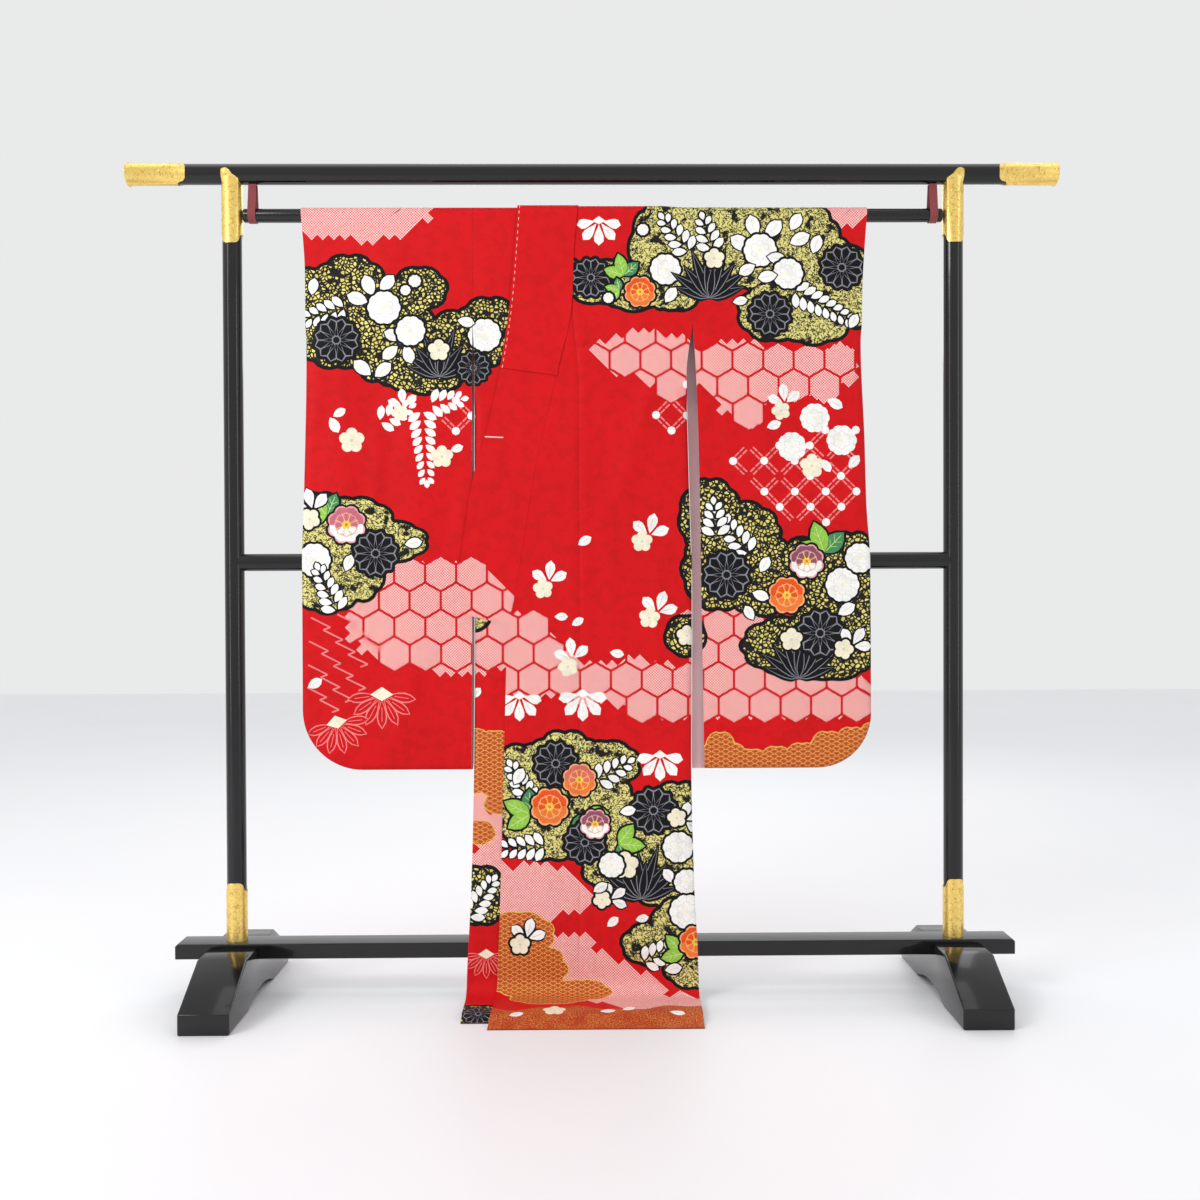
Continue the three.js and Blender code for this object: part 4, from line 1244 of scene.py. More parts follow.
LEFT_PRINT = (
    Field(puffs((470, 12, 84, 38), (420, 4, 50, 22))),
    Field(puffs((100, 300, 110, 45), (150, 330, 60, 50), (280, 332, 95, 58), (380, 335, 110, 45),
                (460, 335, 60, 35), (290, 378, 60, 50)), True),
    Fence(puffs((154, 408, 44, 64), (330, 520, 76, 66), (440, 560, 100, 92), (480, 480, 60, 50))),
    Field(puffs((-150, 870, 75, 70), (-110, 922, 96, 50), (-10, 944, 90, 42), (80, 944, 96, 52),
                (150, 966, 84, 52)), True),
    Field(puffs((240, 850, 90, 70), (300, 960, 150, 55), (450, 970, 110, 45), (270, 900, 80, 80)), True),
    Field(puffs((-130, 1350, 95, 60), (-60, 1360, 60, 30))),
    Field(puffs((-60, 1470, 60, 40), (0, 1520, 80, 50), (60, 1560, 80, 50), (130, 1600, 90, 50),
                (185, 1620, 60, 45))),
    Cloud(Dye.WAVES, puffs((243, 1100, 39, 64), (264, 1112, 40, 54), (304, 1120, 44, 50), (352, 1118, 40, 54),
                           (402, 1114, 44, 56), (452, 1100, 46, 64), (500, 1090, 44, 62),
                           (540, 1080, 36, 60))),
    HemBand(-230, 230, 1622, 1760),
    Cloud(Dye.FLAKES, puffs(
        (-66, 144, 46, 34), (10, 158, 72, 42), (78, 172, 66, 42), (130, 104, 60, 106),
        (190, 90, 90, 92), (160, 172, 52, 42), (290, 80, 90, 92), (390, 90, 95, 100),
        (460, 150, 80, 80), (348, 218, 66, 56), (430, 225, 80, 55), (500, 170, 60, 80)), spots(
        (M.SPRAY, 186, 98, 78, -38), (M.SPRAY, 232, 96, 62, -16), (M.SPRAY, 392, 176, 120, 118),
        (M.MUM, -6, 150, 36), (M.LEAVES, 58, 146, 36, -10), (M.ORANGE, 90, 178, 28),
        (M.LEAVES, 50, 176, 24, -70), (M.BALL, 140, 134, 27), (M.PETAL, -60, 146, 24, -80),
        (M.PETAL, -58, 158, 20, -120), (M.IRIS, 226, 190, 86), (M.PLUM, 236, 112, 18),
        (M.PETAL, 150, 184, 32, 36), (M.BALL, 96, 56, 10), (M.BALL, 28, 190, 9),
        (M.PETAL, 288, 82, 42, -58), (M.PETAL, 312, 48, 40, -14), (M.PETAL, 352, 54, 40, 44),
        (M.BALL, 326, 96, 29), (M.PETAL, 358, 112, 34, 100), (M.BALL, 380, 142, 27),
        (M.PETAL, 340, 148, 34, -100), (M.PETAL, 404, 74, 38, 66), (M.PETAL, 396, 40, 34, 30),
        (M.PETAL, 300, 134, 32, -120), (M.MUM, 344, 222, 39), (M.MUM, 486, 130, 40),
        (M.PETAL, 286, 196, 26, 80), (M.PETAL, 436, 84, 34, 20), (M.PETAL, 508, 236, 28, 30))),
    Cloud(Dye.SCALES, puffs(
        (225, 620, 60, 75), (280, 650, 80, 60), (240, 720, 70, 80), (330, 735, 90, 75),
        (420, 735, 90, 75), (500, 740, 70, 90), (470, 830, 80, 80), (380, 870, 95, 55),
        (460, 895, 80, 40), (175, 850, 38, 38)), spots(
        (M.SPRAY, 300, 690, 96, -38), (M.SPRAY, 236, 656, 60, -4), (M.LEAVES, 446, 690, 52, -14),
        (M.MUM, 256, 732, 43), (M.MAUVE, 412, 706, 31), (M.IRIS, 396, 934, 86),
        (M.MUM, 438, 846, 43), (M.ORANGE, 373, 772, 33), (M.BALL, 482, 752, 30),
        (M.BALL, 516, 700, 26), (M.PETAL, 330, 712, 30, 30), (M.PETAL, 322, 772, 30, 110),
        (M.PLUM, 382, 858, 20), (M.PETAL, 490, 800, 34, 60), (M.TRIO, 500, 872, 34, 20),
        (M.PETAL, 300, 806, 28, -30), (M.PLUM, 178, 850, 18))),
    Cloud(Dye.FLAKES, puffs(
        (-140, 1130, 75, 70), (-60, 1110, 80, 75), (20, 1100, 65, 45), (-90, 1210, 95, 75),
        (0, 1190, 80, 80), (90, 1220, 80, 60), (160, 1210, 70, 75), (60, 1290, 90, 70),
        (140, 1310, 85, 70), (175, 1360, 50, 40)), spots(
        (M.SPRAY, -120, 1186, 92, -28), (M.SPRAY, 4, 1130, 66, 60),
        (M.SPRAY, -100, 1258, 96, -94),
        (M.LEAVES, -128, 1196, 46, -60), (M.LEAVES, -22, 1196, 42, 150),
        (M.LEAVES, 44, 1254, 42, 100), (M.MUM, -78, 1098, 40), (M.CORAL, -32, 1130, 30),
        (M.ORANGE, -90, 1182, 34), (M.MUM, -22, 1252, 38), (M.MAUVE, -2, 1216, 27),
        (M.MUM, 112, 1190, 42), (M.IRIS, 88, 1362, 88), (M.PLUM, 56, 1296, 24),
        (M.BALL, 160, 1262, 27), (M.BALL, 30, 1296, 22), (M.TRIO, 172, 1210, 32, 60),
        (M.TRIO, 26, 1364, 30, 40), (M.PETAL, 8, 1340, 28, 60), (M.PETAL, 142, 1318, 30, -40),
        (M.PETAL, -150, 1122, 32, 30), (M.BALL, 176, 1330, 22), (M.PETAL, 62, 1190, 28, 80))),
    Cloud(Dye.FLAKES, puffs((110, 1450, 60, 42), (165, 1420, 60, 60), (190, 1490, 60, 50)), spots(
        (M.SPRAY, 92, 1486, 88, 62), (M.BALL, 176, 1388, 30), (M.LEAVES, 170, 1470, 40, -40),
        (M.ORANGE, 194, 1448, 30), (M.PETAL, 150, 1500, 30, 80))),
    Cloud(Dye.WAVES, puffs((-150, 1430, 70, 45), (-140, 1500, 85, 60), (-90, 1560, 80, 40),
                           (-30, 1548, 60, 28)), spots((M.TRIO, -136, 1440, 34))),
    Loose(spots(
        (M.PARASOL, 10, 38, 44), (M.TRIO, 105, 655, 40), (M.TRIO, -90, 745, 38, -8),
        (M.TRIO, 120, 805, 40, 6), (M.TRIO, -45, 895, 38, -20), (M.PETAL, -20, 665, 30, 60),
        (M.PETAL, -66, 812, 26, 90), (M.PETAL, -34, 822, 26, 60), (M.PETAL, 42, 884, 28, 100),
        (M.PARASOL, -148, 966, 44), (M.PARASOL, -25, 962, 48), (M.PARASOL, 125, 1082, 46),
        (M.BALL, 430, 426, 29), (M.BALL, 482, 470, 30), (M.BALL, 385, 482, 29),
        (M.TRIO, 372, 398, 36, -20), (M.PLUM, 424, 520, 24), (M.PETAL, 470, 398, 34, 120),
        (M.PETAL, 350, 440, 30, 70), (M.PETAL, 506, 512, 32, 40), (M.PETAL, 452, 520, 28, 150),
        (M.PETAL, 32, 1407, 28, 50), (M.PETAL, 89, 1400, 26, 80),
        (M.PLUM, -80, 1634, 22), (M.PETAL, 20, 1640, 30, 80), (M.PETAL, 60, 1628, 28, 60),
        (M.PETAL, 150, 1650, 30, 110), (M.PETAL, -150, 1652, 28, 70))),
)


class Print:
    """The dyed pattern of the whole garment, flat."""

    BACK_MIRROR = -45.0
    BACK_FROM = 330.0

    def __init__(self) -> None:
        """Draws each group once."""
        self.right = self.drawn(RIGHT_PRINT)
        self.under = self.drawn(UNDER_PRINT)
        self.left = self.drawn(LEFT_PRINT)
        self.slit = [Patch(stroke([(-222, 461), (-178, 463)], 2.4), Dye.CREAM)]

    @staticmethod
    def drawn(parts: Iterable) -> list[Patch]:
        """Draws a group.

        Args:
            parts: Its parts, each over the ones before it.

        Returns:
            The patches.
        """
        art = Drawing()
        for part in parts:
            part.draw(art)
        return art.patches

    @staticmethod
    def behind(patches: Sequence[Patch]) -> list[Patch]:
        """Turns patches over the shoulder onto the back."""
        return [Patch(p.outline * np.array([1, -1]), p.dye) for p in patches]

    def for_sleeve(self, half: Half) -> list[Patch]:
        """Picks the patches for a sleeve."""
        group = self.left if half is Half.LEFT else self.right
        return self.behind(group) + group

    def for_body(self, half: Half) -> list[Patch]:
        """Picks the patches for a body panel.

        Args:
            half: Which half.

        Returns:
            The patches, in order.
        """
        if half is Half.LEFT:
            return self.behind(self.left) + self.left
        mirrored = []
        for p in self.left:
            if p.outline[:, 1].mean() > self.BACK_FROM:
                mirrored.append(Patch(np.array([self.BACK_MIRROR, 0]) - p.outline, p.dye))
        high = [p for p in self.right if p.outline[:, 1].mean() < self.BACK_FROM]
        return mirrored + self.behind(high) + self.right + self.under


# ---- Cutting and sewing ---------------------------------------------------------------------------
@dataclass(frozen=True)
class Panel:
    """One cut length of cloth."""

    name: str
    nodes: tuple[str, ...]
    low: Curve
    high: Curve
    first: float
    last: float
    hang: Hanger
    patches: tuple[Patch, ...] = ()
    slant: float = 0.0
    sewn_low: bool = False
    sewn_high: bool = False
    pale_rim: bool = False

    GRID = 10.0
    SEWN = (1.2, 4.0, 9.0, 14.0)  # closer lines along a sewn edge
    CLEAR = 17.0  # where the even grid starts beside them
    MARGIN = 3.2  # where it starts beside a free edge

    def levels(self) -> Array:
        """Lists the cross lines of the grid, closer where the cloth turns.

        Returns:
            Values of t from the first to the last.
        """
        values = [self.first]
        while values[-1] < self.last:
            s = abs(values[-1])
            step = 3.0 if s < 44 else 5.0 if 1500 < s < 1595 else self.GRID
            values.append(values[-1] + step)
        values = np.array(values)
        share = (values - self.first) / (values[-1] - self.first)
        return self.first + share * (self.last - self.first)

    def outline(self) -> Array:
        """Gives the cut outline.

        Returns:
            Rows of x, t, counter-clockwise once made into a face.
        """
        t = self.levels()
        low, high = self.low(t), self.high(t)
        t_low, t_high = t.copy(), t.copy()
        if self.slant:
            t_low[-1] -= self.slant
            t_high[-1] += self.slant
            keep_low, keep_high = t_low < t_low[-1] + 1e-6, np.ones(len(t), bool)
            if self.slant < 0:
                keep_low, keep_high = np.ones(len(t), bool), t_high < t_high[-1] + 1e-6
            low, t_low, high, t_high = low[keep_low], t_low[keep_low], high[keep_high], t_high[keep_high]
        bottom_x = np.linspace(low[-1], high[-1], 14)[1:-1]
        bottom_t = np.linspace(t_low[-1], t_high[-1], 14)[1:-1]
        top_x = np.linspace(high[0], low[0], 14)[1:-1]
        down = np.stack([low, t_low], 1)
        across = np.stack([bottom_x, bottom_t], 1)
        up = np.stack([high, t_high], 1)[::-1]
        back = np.stack([top_x, np.full(12, self.first)], 1)
        return np.concatenate([down, across, up, back])

    def inner_points(self) -> Array:
        """Gives the grid inside the outline.

        Returns:
            Rows of x, t.
        """
        points = []
        for k, t in enumerate(self.levels()[1:-1]):
            low_end = self.last - abs(self.slant) - self.MARGIN
            if t > low_end or t < self.first + 2 or t > self.last - 2:
                continue
            low, high = float(self.low(np.array([t]))[0]), float(self.high(np.array([t]))[0])
            if high - low < 2 * self.MARGIN:
                continue
            shift = 0.5 * self.GRID * (k % 2)
            start = low + (self.CLEAR if self.sewn_low else self.MARGIN)
            end = high - (self.CLEAR if self.sewn_high else self.MARGIN)
            x = np.arange(math.ceil((start - shift) / self.GRID), math.floor((end - shift) / self.GRID) + 1)
            row = list(x * self.GRID + shift)
            row += [low + d for d in self.SEWN if self.sewn_low]
            row += [high - d for d in self.SEWN if self.sewn_high]
            points.extend((x, t) for x in row if low + 0.9 < x < high - 0.9)
        return np.array(points).reshape(-1, 2)

    def flat_size(self) -> tuple[float, float, float]:
        """Measures the flat cut.

        Returns:
            Its greatest width and length in metres, and its area in square metres.
        """
        t = self.levels()
        width = float(np.max(self.high(t) - self.low(t))) * MM
        edge = self.outline()
        area = abs(signed_area(edge)) * MM * MM
        return width, (self.last - self.first + abs(self.slant)) * MM, area


@dataclass(frozen=True)
class Sleeve(Panel):
    """A sleeve's length of cloth, with its rounded corners."""

    out: int = 1
    outer: Line | None = None
    corner: float = 110.0

    ROUND = np.radians(np.arange(0, 91, 4.5))  # points round a corner

    def outline(self) -> Array:
        """Gives the cut outline, with round corners at both ends.

        Returns:
            Rows of x, t.
        """
        start = SLEEVE_BOTTOM - self.corner
        t = np.array([v for v in self.levels() if abs(v) < start])
        side = self.corner * (1 - np.cos(self.ROUND))
        s = start + self.corner * np.sin(self.ROUND)
        x = self.outer(s) - self.out * side
        low_rows = np.concatenate([[SLEEVE_BOTTOM], np.arange(SLEEVE_BOTTOM - 6, start, -8.0)])
        ends = {}
        for way in (1, -1):
            inner = self.furi(way * low_rows)
            bottom = np.linspace(x[-1], inner[0], 30)[1:-1]
            ends[way] = np.concatenate([
                np.stack([x, way * s], 1), np.stack([bottom, np.full(28, way * SLEEVE_BOTTOM)], 1),
                np.stack([inner, way * low_rows], 1),
            ])
        cuff = np.stack([self.outer(np.abs(t)), t], 1)
        inside = np.stack([self.furi(t), t], 1)[::-1]
        return np.concatenate([cuff, ends[1], inside, ends[-1][::-1]])

    def furi(self, t: Array) -> Array:
        """Reads the open inner edge."""
        return self.low(t) if self.out > 0 else self.high(t)

    def inner_points(self) -> Array:
        """Gives the grid inside the outline, closer along the sewn edge.

        Returns:
            Rows of x, t.
        """
        points = super().inner_points()
        hang = SleeveHang(self.out, self.outer, self.corner)
        away = hang.to_outline(points[:, 0], np.abs(points[:, 1]))
        points = points[away > self.CLEAR]
        start = SLEEVE_BOTTOM - self.corner
        rings = []
        for d in self.SEWN:
            for t in self.levels():
                if abs(t) < start:
                    rings.append((float(self.outer(np.array(abs(t)))) - self.out * d, t))
            for a in self.ROUND:
                s = start + (self.corner - d) * math.sin(a)
                inwards = self.corner - (self.corner - d) * math.cos(a)
                x = float(self.outer(np.array(s))) - self.out * inwards
                rings.extend([(x, s), (x, -s)])
            edge = float(self.outer(np.array(SLEEVE_BOTTOM))) - self.out * self.corner
            for way in (1, -1):
                inner = float(self.furi(np.array(way * SLEEVE_BOTTOM))) + self.out * 2.5
                count = max(int(abs(edge - inner) / 8), 2)
                rings.extend((x, way * (SLEEVE_BOTTOM - d)) for x in np.linspace(inner, edge, count))
        return np.concatenate([points, np.array(rings)])


class Tailor:
    """Cuts, prints and hangs the pieces of cloth."""

    STEP = 0.4  # over which the cloth's slope is read
    SHARP = math.radians(42)

    def __init__(self, finishes: Sequence[bpy.types.Material]) -> None:
        """Takes the finishes."""
        self.finishes = finishes

    @staticmethod
    def cut(panel: Panel) -> tuple[Array, Array, Array]:
        """Cuts the flat cloth into triangles that follow the pattern.

        Args:
            panel: The piece.

        Returns:
            Flat points, triangles, and the patch on each triangle, -1 for none.
        """
        edge = panel.outline()
        inner = panel.inner_points()
        box = edge.min(axis=0), edge.max(axis=0)
        chosen = [
            p for p in panel.patches
            if (p.outline.max(axis=0) > box[0]).all() and (p.outline.min(axis=0) < box[1]).all()
        ]
        outlines = [edge] + [p.outline for p in chosen]
        faces, start = [], 0
        for k, shape in enumerate(outlines):
            ids = list(range(start, start + len(shape)))
            faces.append(ids if signed_area(shape) > 0 else ids[::-1])
            start += len(shape)
        flat = np.concatenate(outlines + [inner])
        made = delaunay_2d_cdt([Vector(p) for p in flat.tolist()], [], faces, 0, 1e-4, True)
        points = np.array([tuple(v) for v in made[0]])
        tops, kept = [], []
        for tri, origin in zip(made[2], made[5]):
            if 0 in origin and len(tri) == 3:
                kept.append(tri)
                tops.append(max(origin) - 1)
        triangles = np.array(kept)
        used = np.unique(triangles)
        renumber = np.full(len(points), -1)
        renumber[used] = np.arange(len(used))
        dyes = np.array([-1 if k < 0 else list(Dye).index(chosen[k].dye) for k in tops])
        return points[used], renumber[triangles], dyes

    def sew(self, panel: Panel) -> bpy.types.Object:
        """Makes the hung piece, a thin closed shell.

        Args:
            panel: The piece.

        Returns:
            The object.
        """
        flat, tris, dye_of = self.cut(panel)
        count = len(flat)
        x, t = flat[:, 0], flat[:, 1]
        middle = panel.hang(x, t)
        dx = panel.hang(x + self.STEP, t) - panel.hang(x - self.STEP, t)
        dt = panel.hang(x, t + self.STEP) - panel.hang(x, t - self.STEP)
        normal = np.cross(dt, dx)
        normal /= np.linalg.norm(normal, axis=1)[:, None]
        half = WALL / 2 - 0.02
        points = np.concatenate([middle + normal * half, middle - normal * half]) * MM
        a, b, c = tris.T
        sides = np.concatenate([np.stack([a, b], 1), np.stack([b, c], 1), np.stack([c, a], 1)])
        key = sides[:, 0] * count + sides[:, 1]
        back = sides[:, 1] * count + sides[:, 0]
        rim = sides[~np.isin(key, back)]
        p, q = rim.T
        faces = np.concatenate([
            np.stack([a, c, b], 1), np.stack([a, b, c], 1) + count,
            np.stack([p, q, q + count], 1), np.stack([p, q + count, p + count], 1),
        ])
        names = list(Dye)
        ground = names.index(Dye.RED)
        # Sleeve rims show the pale lining; all other rims get the darker red, which is painted shade along
        # the cut edges.
        rim_lining_and_shade = names.index(Dye.LINING if panel.pale_rim else Dye.RIM_SHADE_RED)
        outer_dye = np.where(dye_of < 0, ground, dye_of)
        inner_dye = np.full(len(tris), names.index(Dye.LINING))
        dyes = np.concatenate([outer_dye, inner_dye, np.full(2 * len(rim), rim_lining_and_shade)])
        mesh = bpy.data.meshes.new(panel.name)
        mesh.vertices.add(len(points))
        mesh.vertices.foreach_set("co", points.astype(np.float32).ravel())
        mesh.loops.add(3 * len(faces))
        mesh.loops.foreach_set("vertex_index", faces.astype(np.int32).ravel())
        mesh.polygons.add(len(faces))
        mesh.polygons.foreach_set("loop_start", np.arange(0, 3 * len(faces), 3, dtype=np.int32))
        slots = np.array([int(d.value[1]) for d in names])
        tones = np.array([(*d.value[0], 1.0) for d in names])
        mesh.polygons.foreach_set("material_index", slots[dyes].astype(np.int32))
        mesh.update(calc_edges=True)
        layer = mesh.color_attributes.new("dye", "FLOAT_COLOR", "CORNER")
        layer.data.foreach_set("color", np.repeat(tones[dyes], 3, axis=0).astype(np.float32).ravel())
        chart = mesh.uv_layers.new(name="cloth")
        spread = np.stack([np.tile(x, 2), -np.abs(np.tile(t, 2))], 1) * MM
        chart.data.foreach_set("uv", spread[faces.ravel()].astype(np.float32).ravel())
        for finish in self.finishes:
            mesh.materials.append(finish)
        mesh.validate()
        mesh.shade_smooth()
        mesh.set_sharp_from_angle(angle=self.SHARP)
        log.info("%s: %d triangles", panel.name, len(faces))
        return add_object(f"{panel.name}_cloth", mesh)


def settle(piece: bpy.types.Object, nodes: Sequence[str]) -> None:
    """Gives a piece its place in the frame.

    Args:
        piece: The piece.
        nodes: The frame's nodes that it stands for.
    """
    if nodes:
        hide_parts(*nodes)
    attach(piece, "root")


class Kimono:
    """All pieces of the garment."""

    def __init__(self, tailor: Tailor, art: Print) -> None:
        """Takes the maker and the pattern."""
        self.tailor = tailor
        self.art = art

    def panels(self) -> list[Panel]:
        """Lists the pieces.

        Returns:
            The pieces, from the lowest layer up.
        """
        left, right = BodyHang(Half.LEFT), BodyHang(Half.RIGHT)
        half_gap = GAP / 2

        def back_neck(line: Line, sign: int, end: float) -> Curve:
            """Runs from the neck's edge at the shoulder to the back's seam."""
            shoulder = float(line(np.array(0.0))) + sign * half_gap
            return lambda s: shoulder + (end - shoulder) * ease(NECK_DROP, PLEAT_TOP, s)

        left_neck = back_neck(LEFT_NECK, 1, PLEAT_FOLD)
        right_neck = back_neck(RIGHT_NECK, -1, RIGHT_BACK_NECK)
        under = 2 * PLEAT_FOLD - PLEAT_SEAM

        def left_low(t: Array) -> Array:
            """Gives the left body's inner edge, back and front.

            Args:
                t: Way along the cloth.

            Returns:
                The x of the edge.
            """
            s = np.abs(t)
            narrow = np.where(s < PLEAT_TOP, left_neck(s), PLEAT_FOLD - 6)
            pleated = narrow + (under - narrow) * ease(PLEAT_TOP, PLEAT_FULL, s)
            front = np.where(s < OKUMI_TIP, LEFT_NECK(s), LEFT_OKUMI(s)) + half_gap
            return np.where(t < 0, pleated, front)

        def right_high(t: Array) -> Array:
            """Gives the right body's inner edge, back and front.

            Args:
                t: Way along the cloth.

            Returns:
                The x of the edge.
            """
            s = np.abs(t)
            front = np.where(s < OKUMI_TIP, RIGHT_NECK(s), RIGHT_OKUMI(s)) - half_gap
            return np.where(t < 0, right_neck(s), front)

        def down(line: Line, shift: float = 0.0) -> Curve:
            """Follows a line of the front only."""
            return lambda t: line(np.maximum(t, 0)) + shift

        def whole(line: Line) -> Curve:
            """Follows a line on both sides."""
            return lambda t: line(np.abs(t))

        def furi(line: Line, side: Line, sign: int) -> Curve:
            """Gives a sleeve's inner edge, close to the body behind.

            Args:
                line: The edge in front.
                side: The body's side.
                sign: 1 on the wearer's left, -1 on the right.

            Returns:
                The edge as a function of t.
            """
            def read(t: Array) -> Array:
                """Reads the edge.

                Args:
                    t: Way along the cloth.

                Returns:
                    Its x.
                """
                s = np.abs(t)
                near = side(s) + sign * (0.3 + 2.2 * ease(ARMHOLE, 330, s))
                return np.where(t < 0, near, line(s))
            return read

        left_group = tuple(self.art.left)
        over = LAYER + WALL + GAP
        bottom = SLEEVE_BOTTOM
        return [
            Sleeve("right_sleeve", ("right_sleeve_front", "right_sleeve_back"), whole(RIGHT_CUFF),
                   furi(RIGHT_FURI, RIGHT_SIDE, -1), -bottom, bottom, SleeveHang(-1, RIGHT_CUFF, 116).hang,
                   tuple(self.art.for_sleeve(Half.RIGHT)), pale_rim=True, out=-1, outer=RIGHT_CUFF,
                   corner=116),
            Sleeve("left_sleeve", ("left_sleeve_front", "left_sleeve_back"), furi(LEFT_FURI, LEFT_SIDE, 1),
                   whole(LEFT_CUFF), -bottom, bottom, SleeveHang(1, LEFT_CUFF, 106).hang,
                   tuple(self.art.for_sleeve(Half.LEFT)), pale_rim=True, out=1, outer=LEFT_CUFF, corner=106),
            Panel("right_body", ("right_body_front", "right_body_back"), whole(RIGHT_SIDE), right_high,
                  -BACK_HEM, HEM[Half.RIGHT], right.hang, tuple(self.art.for_body(Half.RIGHT)),
                  sewn_low=True),
            Panel("left_body", ("left_body_front", "left_body_back"), left_low, whole(LEFT_SIDE),
                  -BACK_HEM, HEM[Half.LEFT], left.hang, tuple(self.art.for_body(Half.LEFT)), sewn_high=True),
            Panel("right_okumi", ("right_okumi",), down(RIGHT_OKUMI, half_gap), down(RIGHT_NECK, -half_gap),
                  OKUMI_TIP + 7, HEM[Half.RIGHT], right.hang, tuple(self.art.under)),
            Panel("left_okumi", ("left_okumi",), down(LEFT_NECK, half_gap), down(LEFT_OKUMI, -half_gap),
                  OKUMI_TIP + 7, HEM[Half.LEFT], left.hang, left_group),
            Panel("right_collar", ("right_collar",), down(RIGHT_NECK, half_gap), down(RIGHT_NECK, 55),
                  -ARC - COLLAR_TAIL, COLLAR_END, CollarHang(0, False).hang, (), slant=-12),
            Panel("left_collar", ("left_collar",), down(LEFT_COLLAR), down(LEFT_NECK, -half_gap),
                  -ARC - COLLAR_TAIL, COLLAR_END, CollarHang(LAYER, True).hang,
                  tuple(self.art.right + self.art.left + self.art.slit), slant=12),
            Panel("over_collar", ("over_collar",), down(LEFT_COLLAR, -0.5), down(LEFT_NECK, -half_gap),
                  -ARC - COLLAR_TAIL, OVER_COLLAR_END, CollarHang(over, True).hang, (), slant=8),
        ]

    def make(self) -> dict[str, bpy.types.Object]:
        """Returns:
            The pieces by name.
        """
        made = {}
        for panel in self.panels():
            piece = self.tailor.sew(panel)
            settle(piece, panel.nodes)
            made[panel.name] = piece
            width, length, area = panel.flat_size()
            panel_size = (round(width, 4), round(length, 4))
            log.info("%s: flat %s, %.4f m2", panel.name, panel_size, area)
            made[panel.name]["flat"] = [width, length, area]
        return made


# ---- Materials ------------------------------------------------------------------------------------
Socket = bpy.types.NodeSocket
Value = float | Sequence[float] | Socket


